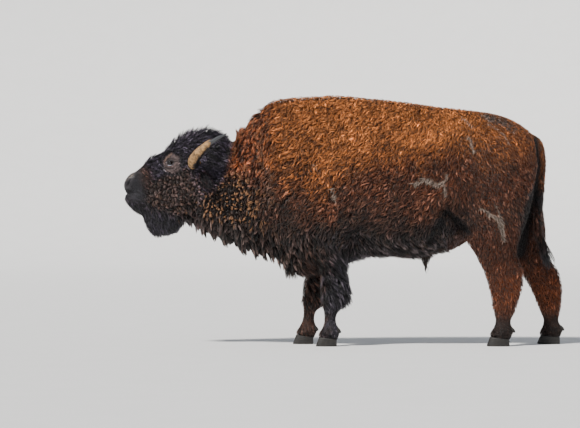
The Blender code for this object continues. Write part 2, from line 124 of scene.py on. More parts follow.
class CoatSettings(bpy.types.PropertyGroup):
    density: FloatProperty(name="Density", description="Tufts to a square metre", default=13750)
    seed: IntProperty(name="Seed", description="Seed of every random draw", default=7)
    amber: colour_property("Amber", "Sun-bleached wool of the back", (0.60, 0.200, 0.052))
    brown: colour_property("Brown", "Wool of the sides and thighs", (0.126, 0.031, 0.0072))
    umber: colour_property("Umber", "Dark brown of the lower sides", (0.036, 0.0125, 0.0065))
    black: colour_property("Black", "Hair of the head, beard and forelegs", (0.0105, 0.0090, 0.0135))
    tan: colour_property("Tan", "Bleached tips of the curls", (0.42, 0.20, 0.088))
    hide: colour_property("Hide", "Rubbed hide and old scars", (0.42, 0.34, 0.28))


class HornSettings(bpy.types.PropertyGroup):
    sheath: colour_property("Sheath", "Rough outer sheath", (0.43, 0.240, 0.095))
    tip: colour_property("Tip", "Smooth slender tip", (0.060, 0.062, 0.068))


class StageSettings(bpy.types.PropertyGroup):
    distance: FloatProperty(
        name="Camera distance", description="From the camera to the midline", default=18.0,
        unit="LENGTH",
    )
    height: FloatProperty(
        name="Camera height", description="Above the floor", default=0.9225, unit="LENGTH"
    )
    width: FloatProperty(
        name="View width", description="What the view spans at the midline", default=4.085,
        unit="LENGTH",
    )


SETTINGS = {
    "bison_skin": SkinSettings,
    "bison_coat": CoatSettings,
    "bison_horn": HornSettings,
    "bison_stage": StageSettings,
}


# ---------------------------------------------------------------- small tools


def smooth(value, start, end):
    """0 before start, 1 after end, and an even rise between."""
    share = np.clip((value - start) / (end - start), 0, 1)
    return share * share * (3 - 2 * share)


def fall(value, start, end):
    """1 before start, 0 after end, and an even drop between."""
    return 1 - smooth(value, start, end)


def bump(value, centre, spread):
    """1 at the centre, fading to 0 a spread or two away."""
    return np.exp(-(((value - centre) / spread) ** 2))


def mix(first, second, share):
    """A blend of two arrays of rows, or of two single values, by a share for each row."""
    share = np.asarray(share)
    if np.ndim(first) > 1 or np.ndim(second) > 1 or len(np.shape(first)) and len(first) == 3:
        share = share[:, None]
    return first * (1 - share) + second * share


def unit(rows):
    return rows / np.maximum(np.linalg.norm(rows, axis=1, keepdims=True), 1e-9)


def waves(points, size, seed):
    """Smooth noise from -1 to 1, made of a few plane waves about this size."""
    random = np.random.default_rng(seed)
    total = np.zeros(len(points))
    for _ in range(9):
        direction = random.normal(size=3)
        direction *= 2 * pi / (size * random.uniform(0.7, 1.5) * np.linalg.norm(direction))
        total += np.sin(points @ direction + random.uniform(0, 2 * pi))
    return np.clip(total / 4.2, -1, 1)


def segment_distance(points, start, end):
    """Distance of each point from a straight segment, and how far along it the nearest place is."""
    start, end = np.array(start, float), np.array(end, float)
    line = end - start
    share = np.clip(((points - start) @ line) / (line @ line), 0, 1)
    return np.linalg.norm(points - (start + share[:, None] * line), axis=1), share


def path_distance(points, path):
    """Distance of each point from a chain of segments."""
    found = [segment_distance(points, a, b)[0] for a, b in zip(path, path[1:])]
    return np.min(found, axis=0)


def select_only(*objects):
    bpy.ops.object.select_all(action="DESELECT")
    for each in objects:
        each.select_set(True)
    bpy.context.view_layer.objects.active = objects[0]


def apply_modifier(obj, kind, **values):
    """Adds one modifier with these values and applies it."""
    select_only(obj)
    bpy.ops.object.modifier_add(type=kind)
    made = obj.modifiers[-1]
    for name, value in values.items():
        setattr(made, name, value)
    bpy.ops.object.modifier_apply(modifier=made.name)


def in_edit_mode(obj, mode, action):
    """Runs one action on the object in edit mode."""
    select_only(obj)
    bpy.ops.object.mode_set(mode="EDIT")
    bpy.ops.mesh.select_mode(type=mode)
    action()
    bpy.ops.object.mode_set(mode="OBJECT")


def points_of(mesh):
    found = np.empty(len(mesh.vertices) * 3, np.float32)
    mesh.vertices.foreach_get("co", found)
    return found.reshape(-1, 3).astype(float)


def normals_of(mesh):
    found = np.empty(len(mesh.vertices) * 3, np.float32)
    mesh.vertex_normals.foreach_get("vector", found)
    return found.reshape(-1, 3).astype(float)


def move_points(mesh, points):
    mesh.vertices.foreach_set("co", points.astype(np.float32).ravel())
    mesh.update()


def merge_doubles():
    bpy.ops.mesh.select_all(action="SELECT")
    bpy.ops.mesh.remove_doubles(threshold=1e-5)


def set_material(mesh, material):
    """Makes this the mesh's only material."""
    mesh.materials.clear()
    mesh.materials.append(material)


def own_copy(node):
    """A copy of a CAD node, with its own mesh, that can be shaped."""
    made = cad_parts[node].copy()
    made.data = made.data.copy()
    made.parent = None
    made.hide_render = False
    made.hide_viewport = False
    for key in [key for key in made.keys() if key.startswith("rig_")]:
        del made[key]
    bpy.context.scene.collection.objects.link(made)
    return made


def side_line(path):
    """A side-view path as places on the midline."""
    return [(x, 0.0, z) for x, z in path]


def flattened(points):
    """The same points, moved to the midline."""
    return points * (1, 0, 1)


def store(mesh, name, values):
    """Writes one number or one colour for each vertex as a named attribute."""
    kind, field = "FLOAT", "value"
    if np.ndim(values) == 2:
        kind, field = "FLOAT_COLOR", "color"
        values = np.hstack((values, np.ones((len(values), 1))))
    made = mesh.attributes.new(name, kind, "POINT")
    made.data.foreach_set(field, np.asarray(values, np.float32).ravel())


def shade_smooth(obj):
    select_only(obj)
    bpy.ops.object.shade_smooth()


def settle(obj, name, slot, *nodes):
    """Names a finished piece, puts it on the body and hides the CAD nodes it replaces. The slot is not
    used.
    """
    obj.name = name
    obj.data.name = name
    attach(obj, "root")
    if nodes:
        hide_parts(*nodes)
    return obj


# ---------------------------------------------------------------- the coat as a field


def node_distances(points, names):
    """How far each point is from the nearest surface of the named CAD nodes."""
    best = np.full(len(points), 9.0)
    for name in names:
        tree = surface_tree(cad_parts[name].data)
        low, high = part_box(name)
        reach = np.maximum(np.array(low) - points, points - np.array(high)).max(axis=1)
        for index in np.nonzero(reach < 0.12)[0]:
            distance = tree.find_nearest(Vector(points[index]))[3]
            best[index] = min(best[index], distance)
    return best


def behind_nape(points):
    """How far each point lies behind the line where the head ends, in side view."""
    x, _, z = points.T
    return (x - NAPE.x) * NAPE_NORMAL.x + (z - NAPE.z) * NAPE_NORMAL.z


# How much further back than the nape's line the black hair of the head reaches, at each height.
HEAD_BACK = ((1.06, 0.0), (1.16, 0.080), (1.30, 0.066), (1.46, 0.020), (1.60, 0.020))


def zones(points, normals):
    """How much each point belongs to each part of the body, as shares from 0 to 1."""
    x, y, z = points.T
    side = np.abs(y)
    along = (x - EYE.x) * HEAD_ALONG.x + (z - EYE.z) * HEAD_ALONG.z
    up = (x - EYE.x) * HEAD_UP.x + (z - EYE.z) * HEAD_UP.z
    behind = behind_nape(points) - np.interp(z, *zip(*HEAD_BACK))
    found = {}
    head = fall(behind, -0.03, 0.03)
    found["tail"] = fall(node_distances(points, ["tail"]), 0.014, 0.032)
    ears = ["ear_left", "ear_right"]
    found["ear"] = fall(node_distances(points, ears), 0.010, 0.028) * smooth(side, 0.17, 0.20)
    fore = node_distances(points, ["foreleg_left", "foreleg_right"])
    found["fore"] = fall(fore, 0.045, 0.075) * fall(z, 0.60, 0.76)
    hind = node_distances(points, ["hindleg_left", "hindleg_right"])
    found["hind"] = fall(hind, 0.045, 0.075) * fall(z, 0.72, 0.95)
    found["head"] = head
    found["neck"] = (1 - head) * fall(x, -0.66, -0.42)
    found["trunk"] = 1 - np.clip(found["head"] + found["neck"], 0, 1)
    for name in ("head", "neck", "trunk"):
        found[name] *= (1 - found["fore"]) * (1 - found["hind"]) * (1 - found["tail"])
    found["head"] *= 1 - found["ear"]
    jaw = z - (EYE.z - 0.294 - 0.354 * (x - EYE.x + 0.171))
    found["beard"] = found["head"] * fall(jaw, -0.035, 0.030)
    found["muzzle"] = found["head"] * smooth(-x, 0.145 - EYE.x, 0.225 - EYE.x) * smooth(jaw, -0.04, 0.02)
    lifted = up + 0.32 * np.clip(x - EYE.x - 0.18, 0, 1)
    found["bonnet"] = found["head"] * smooth(lifted, 0.060, 0.125) * fall(along, 0.03, 0.15)
    found["cheek"] = found["head"] * fall(up, -0.095, -0.045) * (1 - found["beard"])
    found["cheek"] *= (1 - found["muzzle"]) * smooth(along, -0.16, -0.06)
    crest = np.hypot(x - NAPE.x + 0.02, z - NAPE.z + 0.115)
    found["nape"] = fall(crest, 0.07, 0.13) * smooth(normals[:, 2], -0.1, 0.3)
    found["nape"] *= smooth(behind, -0.03, 0.01)
    inside = fall(eye_ring(points), 0.82, 1.12)
    found["eye_patch"] = found["head"] * smooth(side, 0.09, 0.12) * inside
    found["nub"] = found["neck"] * fall(x, -0.80, -0.60) * fall(z, 1.13, 1.27)
    found["nub"] = np.maximum(found["nub"], 0.85 * found["cheek"])
    found["belly"] = found["trunk"] * smooth(-normals[:, 2], 0.25, 0.75) * fall(z, 0.72, 0.95)
    found["sheath"] = found["trunk"] * smooth(x, 0.42, 0.48) * fall(z, 0.56, 0.62)
    found["brisket"] = fall(z, 0.68, 0.86) * fall(x, -0.16, 0.02)
    found["brisket"] *= np.clip(found["neck"] + found["trunk"], 0, 1)
    under = smooth(-normals[:, 2], 0.25, 0.65) * fall(x, -0.20, -0.05)
    throat = found["head"] * smooth(x, EYE.x + 0.05, EYE.x + 0.11) * smooth(-normals[:, 2], 0.45, 0.80)
    found["fringe"] = under * np.clip(found["neck"] + found["brisket"] + throat, 0, 1)
    found["shoulder"] = found["trunk"] * fall(x, -0.15, 0.25)
    found["rump"] = found["trunk"] * smooth(x, 0.72, 0.98)
    found["pantaloon"] = found["fore"] * smooth(z, 0.27, 0.40)
    found["foot"] = fall(z, 0.16, 0.30) * np.clip(found["fore"] + found["hind"], 0, 1)
    return found


def eye_ring(points):
    """Distance from the eye in side view, as a share of the half width of the patch round it."""
    x, _, z = points.T
    ring = np.hypot((x - EYE.x - 0.008) / 0.066, (z - EYE.z + 0.002) / 0.072)
    return ring * (1 + 0.12 * waves(points, 0.07, 37) + 0.09 * waves(points, 0.018, 50))


def blend(values, weights, base):
    """A base value, drawn towards each named value by its share, in the order given."""
    total = np.full(len(weights["head"]), float(base))
    for name, value in values:
        total = total * (1 - weights[name]) + value * weights[name]
    return total


def elbow_hollow(x):
    """How near each place along the bull is to the hollow behind the elbow."""
    return bump(x, 0.050, 0.085)


def coat_depth(points, weights):
    """How far the skin lies under the tips of the coat."""
    depth = blend(
        (
            ("shoulder", 0.024), ("rump", 0.015), ("belly", 0.024), ("neck", 0.032),
            ("brisket", 0.040), ("head", 0.016), ("cheek", 0.020), ("bonnet", 0.046),
            ("nape", 0.002), ("eye_patch", 0.009), ("beard", 0.014), ("hind", 0.013),
            ("fore", 0.012), ("pantaloon", 0.030), ("foot", 0.006), ("muzzle", 0.004),
            ("ear", 0.006), ("fringe", 0.050), ("sheath", 0.030),
        ),
        weights, 0.019,
    )
    x, _, z = points.T
    depth += 0.065 * elbow_hollow(x) * weights["belly"]
    depth += 0.030 * bump(np.hypot(x - 0.835, z - 0.735), 0, 0.065) * weights["trunk"]
    tuft = smooth(-z, -1.15, -0.95) * smooth(z, 0.66, 0.76)
    tail = 0.007 + 0.016 * tuft - 0.004 * fall(z, 0.62, 0.70)
    return depth * (1 - weights["tail"]) + tail * weights["tail"]


def flow_of(points, normals, weights):
    """The lie of the coat: a unit direction along the skin at each point."""
    x, y, _ = points.T
    out = np.sign(y) * smooth(np.abs(y), 0.0, 0.05)
    one = np.ones(len(x))

    def rows(a, b, c):
        return np.stack((a * one, b * one, c * one), axis=1)

    turn = smooth(x + 0.12 * waves(points, 0.30, 14), 0.35, 1.20)
    back = smooth(x, EYE.x - 0.05, EYE.x + 0.30)
    total = mix(rows(-0.66, 0.45 * out, -0.75), rows(0.50, 0.30 * out, -0.85), turn)
    for name, direction in (
        ("neck", rows(-0.22, 0.2 * out, -1.0)), ("brisket", rows(0.10, 0.1 * out, -1.0)),
        ("belly", rows(0.65, 0.35 * out, -0.75)), ("head", rows(0.92, 0.35 * out, -0.30)),
        ("cheek", rows(0.55, 0.1 * out, -0.85)),
        ("bonnet", rows(0.15 + 0.65 * back, 0.25 * out, 0.95 - 0.2 * back)),
        ("nape", rows(0.45, 0.2 * out, 0.85)), ("beard", rows(0.30, 0.05 * out, -1.0)),
        ("fore", rows(0.10, 0.0, -1.0)), ("hind", rows(0.10, 0.0, -1.0)),
        ("pantaloon", rows(0.85, 0.20 * out, -0.75)),
        ("tail", rows(0.02, 0.15 * out, -1.0)), ("ear", rows(0.35, 0.80 * out, -0.55)),
    ):
        total = mix(total, direction, weights[name])
    total = unit(total - normals * np.sum(total * normals, axis=1, keepdims=True))
    total[:, 0] -= 1.3 * parting(points) * weights["fringe"]
    total = unit(total - normals * np.sum(total * normals, axis=1, keepdims=True))
    swing = 0.26 * waves(points, 0.28, 11) + 0.34 * waves(points, 0.070, 12)
    calm = np.clip(weights["beard"] + weights["foot"] + weights["tail"] + weights["ear"], 0, 1)
    return turned(total, normals, swing * (1 - 0.6 * calm))


def parting(points):
    """How the hanging hair gathers into spikes: 0 in the middle of one, half to -half at its edges."""
    phase = points[:, 0] / 0.076 + 0.45 * np.sin(points[:, 0] * 13.0 + 0.8)
    return phase - np.round(phase)


def turned(rows, normals, angle):
    """Directions turned round their normals."""
    return unit(rows * np.cos(angle)[:, None] + np.cross(normals, rows) * np.sin(angle)[:, None])


# Old scars and rubbed places on the left side: side-view points, half width and how bare they are.
SCARS = (
    (((0.480, 1.139), (0.508, 1.156), (0.535, 1.170), (0.566, 1.167), (0.597, 1.155), (0.616, 1.137),
      (0.644, 1.139), (0.672, 1.147)), 0.013, 1.0),
    (((0.688, 1.213), (0.690, 1.198), (0.679, 1.149), (0.685, 1.108), (0.691, 1.070)), 0.011, 0.8),
    (((0.918, 0.975), (0.945, 0.956), (0.972, 0.943)), 0.007, 1.0),
    (((0.972, 0.943), (0.985, 0.923), (1.014, 0.913), (1.047, 0.903)), 0.011, 1.0),
    (((1.047, 0.903), (1.057, 0.882), (1.066, 0.844), (1.072, 0.820)), 0.017, 1.0),
    (((1.072, 0.820), (1.078, 0.782), (1.088, 0.748)), 0.011, 0.9),
    (((1.024, 0.993), (1.037, 0.973), (1.044, 0.953), (1.052, 0.923)), 0.005, 0.9),
    (((0.847, 1.459), (0.862, 1.438), (0.873, 1.402), (0.883, 1.359)), 0.009, 1.0),
    (((0.808, 1.592), (0.833, 1.571), (0.859, 1.549), (0.883, 1.527)), 0.005, 0.8),
    (((0.938, 1.596), (0.966, 1.599), (0.991, 1.585), (0.995, 1.571)), 0.005, 0.8),
    (((0.970, 1.543), (0.995, 1.548), (1.038, 1.513), (1.085, 1.477), (1.120, 1.413)), 0.004, 0.7),
    (((-0.225, 1.285), (-0.200, 1.235), (-0.180, 1.215)), 0.004, 0.7),
    (((-0.088, 1.100), (-0.070, 1.035)), 0.012, 1.0),
)
BALD_PATCH = ((0.985, 1.588), (1.092, 1.553), (1.165, 1.508))


def markings(points, weights):
    """Shares of bare hide from scars, and of grey skin on the rump, on the left side only."""
    flat = flattened(points)
    left = smooth(-points[:, 1], 0.02, 0.06) * np.clip(weights["trunk"] + weights["hind"], 0, 1)
    ragged = 0.5 + 0.5 * waves(points, 0.030, 21)
    scar = np.zeros(len(points))
    for path, half, strength in SCARS:
        near = path_distance(flat, side_line(path))
        scar = np.maximum(scar, strength * fall(near, half * (0.5 + 0.5 * ragged), half * 1.45))
    near = path_distance(flat, side_line(BALD_PATCH))
    bald = fall(near, 0.014, 0.034) * smooth(ragged, 0.20, 0.50)
    return scar * left, bald * left


# Side-view lines of the grooves between haunch and tail, and between belly and thigh.
TAIL_GROOVE = (
    (1.328, 1.45), (1.352, 1.26), (1.336, 1.17), (1.290, 1.00), (1.262, 0.84), (1.230, 0.66),
)
GROIN = ((0.59, 0.76), (0.64, 0.86), (0.70, 0.95), (0.77, 0.89), (0.85, 0.80))
FLANK_FOLD = ((0.69, 0.95), (0.76, 0.90), (0.86, 0.74))


def creases(points):
    """How deep each point lies in one of the grooves, which are sunk, shortened and painted dark for
    their shade and their dark hair.
    """
    flat = flattened(points)
    half = 0.019 + 0.036 * fall(points[:, 2], 0.98, 1.22)
    found = fall(path_distance(flat, side_line(TAIL_GROOVE)) / half, 0.5, 1.4)
    edge = fall(path_distance(flat, side_line(GROIN)), 0.010, 0.042)
    return np.maximum(found, edge * smooth(np.abs(points[:, 1]), 0.03, 0.08))


# Matted folds of the shoulder, added to the partings whose hair is painted dark as shade: side-view
# paths and their half widths.
FOLDS = (
    (((-0.475, 1.372), (-0.440, 1.392), (-0.405, 1.388)), 0.007),
    (((-0.470, 1.262), (-0.430, 1.280), (-0.385, 1.297), (-0.360, 1.290)), 0.009),
    (((-0.455, 1.215), (-0.415, 1.218), (-0.385, 1.228)), 0.007),
    (((-0.640, 1.245), (-0.610, 1.262), (-0.575, 1.250)), 0.008),
    (((-0.325, 1.235), (-0.322, 1.200), (-0.300, 1.165)), 0.006),
    (((-0.452, 0.985), (-0.405, 1.045), (-0.370, 1.065)), 0.008),
    (((-0.370, 1.065), (-0.335, 1.100), (-0.300, 1.115)), 0.006),
)


def clefts(points, weights):
    """Narrow partings between the matted clumps of the mane, the shoulder and the cheeks, where the hair
    is sunk, shortened and painted dark as shade.
    """
    upright = points * (1, 1, 0.42)
    folds = bump(waves(upright, 0.085, 22) + 0.30 * waves(points, 0.03, 23), 0, 0.16)
    cracks = bump(waves(points * (1, 1, 0.75), 0.16, 25) + 0.30 * waves(points, 0.035, 26), 0, 0.10)
    leaning = np.stack((0.9 * points[:, 0] + 0.43 * points[:, 2], points[:, 1],
                        0.40 * (0.9 * points[:, 2] - 0.43 * points[:, 0])), axis=1)
    fine = bump(waves(leaning, 0.110, 28) + 0.25 * waves(points, 0.035, 29), 0, 0.19)
    here = smooth(waves(points, 0.45, 24), -0.45, 0.20)
    mane = np.clip(weights["neck"] + 0.6 * smooth(-points[:, 0], 0.25, 0.45) * weights["shoulder"], 0, 1)
    found = folds * mane * (0.5 + 0.5 * here) + cracks * here * (1 - mane) * weights["shoulder"]
    found = found * (1 - weights["cheek"]) + fine * weights["cheek"]
    left = smooth(-points[:, 1], 0.0, 0.1)
    for path, half in FOLDS:
        near = path_distance(flattened(points), side_line(path))
        found = np.maximum(found, bump(near, 0, 1.4 * half) * left)
    return np.clip(found * (1 - weights["fringe"]), 0, 1)


# What colours the patch round each eye: a side-view path, its half width, and the colour. The three
# near-black rows are painted shade in the grooves that sculpt_eyes cuts, and the bluish-white row along
# the lower lid is a painted highlight on its wet edge.
EYE_MARKS_AND_PAINTED_LIGHT = (
    (((-0.044, 0.007), (-0.020, 0.040), (0.005, 0.062)), 0.006, (0.250, 0.150, 0.110)),
    (((-0.056, -0.009), (-0.046, -0.056)), 0.008, (0.140, 0.128, 0.145)),
    (((-0.034, -0.036), (-0.001, -0.047), (0.026, -0.038)), 0.006, (0.010, 0.007, 0.007)),
    (((-0.028, 0.022), (-0.004, 0.033), (0.024, 0.026)), 0.005, (0.014, 0.009, 0.008)),
    (((0.028, 0.004), (0.052, 0.012)), 0.004, (0.016, 0.010, 0.009)),
    (((-0.030, -0.052), (0.017, -0.066)), 0.006, (0.210, 0.155, 0.145)),
    (((-0.015, -0.0175), (0.006, -0.0190)), 0.0028, (0.350, 0.350, 0.420)),
    (((-0.014, -0.025), (0.016, -0.025)), 0.0035, (0.120, 0.055, 0.045)),
    (((-0.030, 0.003), (-0.023, 0.002)), 0.0028, (0.350, 0.310, 0.330)),
)

# Colours of single places, where the wool's own five don't reach.
BELLY_HAIR = (0.038, 0.029, 0.033)
SHOULDER_STRIP = (0.105, 0.052, 0.034)
BRISKET_HAIR = (0.075, 0.029, 0.017)
FRINGE_HAIR = (0.075, 0.043, 0.036)
HEAD_HAIR = (0.056, 0.045, 0.068)
BONNET_HAIR = (0.042, 0.034, 0.052)
CHEEK_HAIR = (0.080, 0.046, 0.037)
EYE_PATCH = (0.060, 0.040, 0.038)
NOSE_PAD = (0.0165, 0.0140, 0.0175)
NOSE_BAND = (0.130, 0.057, 0.037)
# Grey of the whiskers, lightened as a painted sheen on the folds above the lips.
WHISKER_SHEEN = (0.036, 0.034, 0.043)
NOSE_TOP = (0.180, 0.145, 0.115)
RUBBED_SKIN = (0.16, 0.145, 0.135)


class Paint:
    """The colours of some points, laid one over another."""

    def __init__(self, points, normals, weights):
        coat = bpy.context.scene.bison_coat
        self.points, self.normals, self.weights = points, normals, weights
        for name in ("amber", "brown", "umber", "black", "hide"):
            setattr(self, name, np.array(getattr(coat, name)))
        self.rows = self.plain(self.umber)

    def plain(self, colour):
        """The same colour for every point."""
        return np.tile(colour, (len(self.points), 1))

    def lay(self, colour, share):
        self.rows = mix(self.rows, np.asarray(colour), np.clip(share, 0, 1))


def tint_body(paint):
    """Trunk and neck: bleached above, dark below."""
    weights, (x, y, z) = paint.weights, paint.points.T
    brown, umber, black = paint.brown, paint.umber, paint.black
    uneven = 0.08 * waves(paint.points, 0.5, 31) + 0.04 * waves(paint.points, 0.12, 32)
    height = z + uneven
    front = fall(x, -0.15, 0.35)
    paint.lay(brown, smooth(height, 0.80 - 0.05 * front, 1.08))
    bleached = smooth(height, 1.20 - 0.22 * front, 1.54 - 0.10 * front) * smooth(x, -0.80, -0.25)
    paint.lay(paint.amber, bleached * (1 - 0.60 * smooth(x, 0.75, 1.15)))
    paint.lay(umber * 0.75, fall(height, 0.72, 0.90) * weights["trunk"])
    paint.lay(BELLY_HAIR, weights["belly"] * 0.85)
    flap = bump(np.hypot((x + 0.100) / 0.050, (z - 0.925) / 0.055), 0, 1) * smooth(-y, 0.05, 0.15)
    paint.lay(brown * 1.5, 0.7 * flap)
    paint.lay(black * 1.2, weights["sheath"])
    paint.lay(mix(paint.plain(umber), brown * 2.0, smooth(height, 0.98, 1.38)), weights["neck"])
    strip = bump(x + 0.535, 0, 0.034) * smooth(z, 0.95, 1.0) * fall(z, 1.24, 1.29)
    paint.lay(SHOULDER_STRIP, 0.6 * strip * smooth(np.abs(y), 0.05, 0.15))
    paint.lay(umber * 0.45, weights["nub"] * 0.9)
    paint.lay(BRISKET_HAIR, weights["brisket"] * 0.8)
    paint.lay(FRINGE_HAIR, weights["fringe"] * 0.9)
    haunch = smooth(x, 0.80, 1.05) * fall(z, 0.80, 1.15)
    paint.lay(brown * 1.25, haunch * 0.75)
    combed = bump(np.hypot((x - 0.60) / 0.10, (z - 1.04) / 0.11), 0, 1) * fall(z, 1.12, 1.16)
    paint.lay(brown * 1.2, 0.7 * combed * smooth(-y, 0.05, 0.15))


def tint_head(paint):
    """Black-brown hair of the head, redder on the cheek and darkest behind the horn."""
    points, weights = paint.points, paint.weights
    x, y, z = points.T
    head, black = weights["head"], paint.black
    paint.lay(HEAD_HAIR, head)
    paint.lay(BONNET_HAIR, weights["bonnet"] * (0.80 + 0.20 * waves(points, 0.06, 27)))
    paint.lay(CHEEK_HAIR, weights["cheek"] * 0.9)
    hollow = bump(np.hypot(x - EYE.x - 0.27, z - EYE.z + 0.08), 0, 0.09)
    paint.lay(black * 1.2, 0.8 * weights["cheek"] * hollow)
    before_eye = bump(np.hypot(x - EYE.x + 0.185, z - EYE.z + 0.10), 0, 0.055)
    paint.lay(paint.umber, 0.7 * head * before_eye)
    paint.lay(black * 1.3, 0.75 * weights["beard"])
    behind_horn = bump(np.hypot(x - EYE.x - 0.310, (z - EYE.z - 0.075) / 0.8), 0, 0.105)
    paint.lay(black * 1.3, 0.75 * head * behind_horn * smooth(np.abs(y), 0.05, 0.12))


def tint_eyes(paint):
    """Thin-haired skin round each eye, with its folds painted dark as shade and a painted highlight on
    the wet lower lid, inside a dark ring.
    """
    points, head, black = paint.points, paint.weights["head"], paint.black
    x, y, z = points.T
    paint.lay(black, 0.85 * head * bump(eye_ring(points), 1.18, 0.16))
    rear = smooth(x, EYE.x - 0.02, EYE.x + 0.03)
    worn = 1 + 0.5 * rear + 0.35 * waves(points, 0.030, 46) + 0.25 * waves(points, 0.012, 47)
    paint.lay(np.array(EYE_PATCH) * worn[:, None], 0.95 * paint.weights["eye_patch"])
    place = flattened(points - np.array(EYE))
    facing = smooth(np.abs(y), 0.10, 0.12) * head
    lids = np.hypot((x - EYE.x) / 0.030, (z - EYE.z) / 0.0225)
    paint.lay(black * 0.8, 0.9 * facing * fall(lids, 0.85, 1.10))
    # Some of these marks are painted light: shade in the folds and a highlight on the wet lower lid.
    for path, half, colour in EYE_MARKS_AND_PAINTED_LIGHT:
        near = path_distance(place, side_line(path))
        paint.lay(colour, 0.9 * facing * bump(near, 0, half) * (0.75 + 0.25 * waves(points, 0.01, 35)))


def tint_limbs(paint):
    """Legs, tail and ears, with painted shade and dark hair in the grooves beside them, a painted shadow
    in the groin, and the tail's dock lightened with painted light.
    """
    points, weights = paint.points, paint.weights
    x, y, z = points.T
    brown, umber, black = paint.brown, paint.umber, paint.black
    low = smooth(z + 0.06 * waves(points, 0.1, 40), 0.40, 0.62)
    paint.lay(mix(brown * 1.7, brown * 0.9, low), weights["hind"])
    # Painted shadow: black laid in the groin between belly and thigh.
    hollow = bump(np.hypot((x - 0.69) / 0.12, (z - 0.80) / 0.10), 0, 1) * fall(x, 0.80, 0.88)
    paint.lay(black * 1.1, 0.8 * hollow)
    rear = smooth(x + 0.03 * waves(points, 0.08, 45), -0.20, -0.10)
    paint.lay(mix(umber * 1.4, black * 3.0, rear), weights["fore"])
    elbow = fall(z, 0.76, 0.90) * bump(x, -0.08, 0.16) * smooth(np.abs(y), 0.08, 0.14)
    paint.lay(black, elbow * weights["trunk"])
    # The dock's own brown, lightened with amber as painted light where the rump shades it.
    dock_with_painted_light = 0.28 * paint.amber + 0.35 * brown
    paint.lay(mix(paint.plain(black), dock_with_painted_light, smooth(z, 1.04, 1.20)), weights["tail"])
    # Painted shade, with some dark hair: the grooves by the tail and the groin's edge are laid
    # near-black.
    paint.lay(black * 0.45, 0.97 * creases(points))
    paint.lay(black * 1.1, weights["ear"])
    paint.lay(umber * 0.6, weights["foot"] * weights["hind"])


def tint_nose(paint):
    """Dark muzzle with its pad, a painted sheen over the folds above the lips, nostrils painted darker
    as shade, a paler top and a red-brown band behind.
    """
    points, head = paint.points, paint.weights["head"]
    x, y, z = points.T
    paint.lay(paint.black * 0.95, paint.weights["muzzle"])
    pad = nose_pad(points, 0.075) * smooth(z, 1.07, 1.10)
    paint.lay(NOSE_PAD, 0.9 * pad * head)
    band = bump(x + 0.25 * (z - 1.18), EYE.x - 0.170, 0.034) * smooth(z, 1.09, 1.13)
    band *= fall(z, 1.22, 1.27) * (0.7 + 0.3 * waves(points, 0.03, 38))
    paint.lay(NOSE_BAND, 0.85 * band * head)
    # Painted sheen, partly the whiskers' grey, on the folds above the lips.
    folds = bump(x + 0.5 * (z - 1.05), NOSE_X + 0.105, 0.045) * bump(z, 1.062, 0.035)
    paint.lay(WHISKER_SHEEN, folds * smooth(waves(points, 0.018, 39), -0.4, 0.4) * head)
    top = bump(x - 0.6 * (z - EYE.z + 0.08), NOSE_X + 0.048, 0.020)
    top *= smooth(paint.normals[:, 2], 0.1, 0.5)
    top *= fall(x, NOSE_X + 0.06, NOSE_X + 0.10) * smooth(waves(points, 0.012, 36), -0.4, 0.5)
    paint.lay(NOSE_TOP, 0.75 * top * head)
    # Painted shade: the nostrils are laid darker than the muzzle, inside their sculpted hollows.
    arm = (x - NOSE_X - 0.036) / 0.018, (np.abs(y) - 0.053) / 0.026, (z - EYE.z + 0.145) / 0.019
    nostril = bump(np.linalg.norm(np.stack(arm, 1), axis=1), 0, 0.85)
    paint.lay(paint.black * 0.3, 0.9 * nostril * head)


def tint_of(points, normals, weights):
    """The base colour of hair and skin at each point."""
    paint = Paint(points, normals, weights)
    for tint in (tint_body, tint_head, tint_eyes, tint_limbs, tint_nose):
        tint(paint)
    paint.rows *= (1 + 0.18 * waves(points, 0.07, 33) + 0.08 * waves(points, 0.022, 34))[:, None]
    torso = np.clip(weights["trunk"] + weights["neck"], 0, 1)
    paint.rows *= (1 + 0.22 * waves(points, 0.30, 48) * torso)[:, None]
    scar, bald = markings(points, weights)
    paint.lay(paint.hide, 0.85 * scar)
    paint.lay(RUBBED_SKIN, 0.8 * bald)
    return np.clip(paint.rows, 0.002, 1)


# ---------------------------------------------------------------- the skin


def joined_flesh():
    """One mesh of all the flesh nodes, with the eyes left in to fill their sockets."""
    select_only(*[own_copy(name) for name in FLESH + ["eye_left", "eye_right"]])
    bpy.ops.object.join()
    body = bpy.context.view_layer.objects.active
    body.data.materials.clear()
    in_edit_mode(body, "VERT", merge_doubles)
    return body


def refine(body, chosen):
    """Splits the chosen faces in four and rounds them."""
    mesh = body.data
    in_edit_mode(body, "FACE", lambda: bpy.ops.mesh.select_all(action="DESELECT"))
    centres = np.empty(len(mesh.polygons) * 3, np.float32)
    mesh.polygons.foreach_get("center", centres)
    mesh.polygons.foreach_set("select", chosen(centres.reshape(-1, 3).astype(float)))

    def split():
        bpy.ops.mesh.subdivide(number_cuts=1, quadcorner="INNERVERT")
        bpy.ops.mesh.vertices_smooth(factor=0.5, repeat=2)

    in_edit_mode(body, "FACE", split)


def near_face(points):
    """Faces of the head that need a finer grain."""
    return behind_nape(points) < -0.10


def near_features(points):
    """Faces about the muzzle, the mouth and the eyes."""
    return (points[:, 0] < NOSE_X + 0.23) | (eye_distance(points) < 0.075)


def near_eyes(points):
    """Faces of the lids."""
    return eye_distance(points) < 0.042


def eye_distance(points):
    """How far each point is from the middle of the nearer eye."""
    x, y, z = points.T
    return np.linalg.norm(np.stack((x - EYE.x, np.abs(y) - EYE_SIDE, z - EYE.z), 1), axis=1)


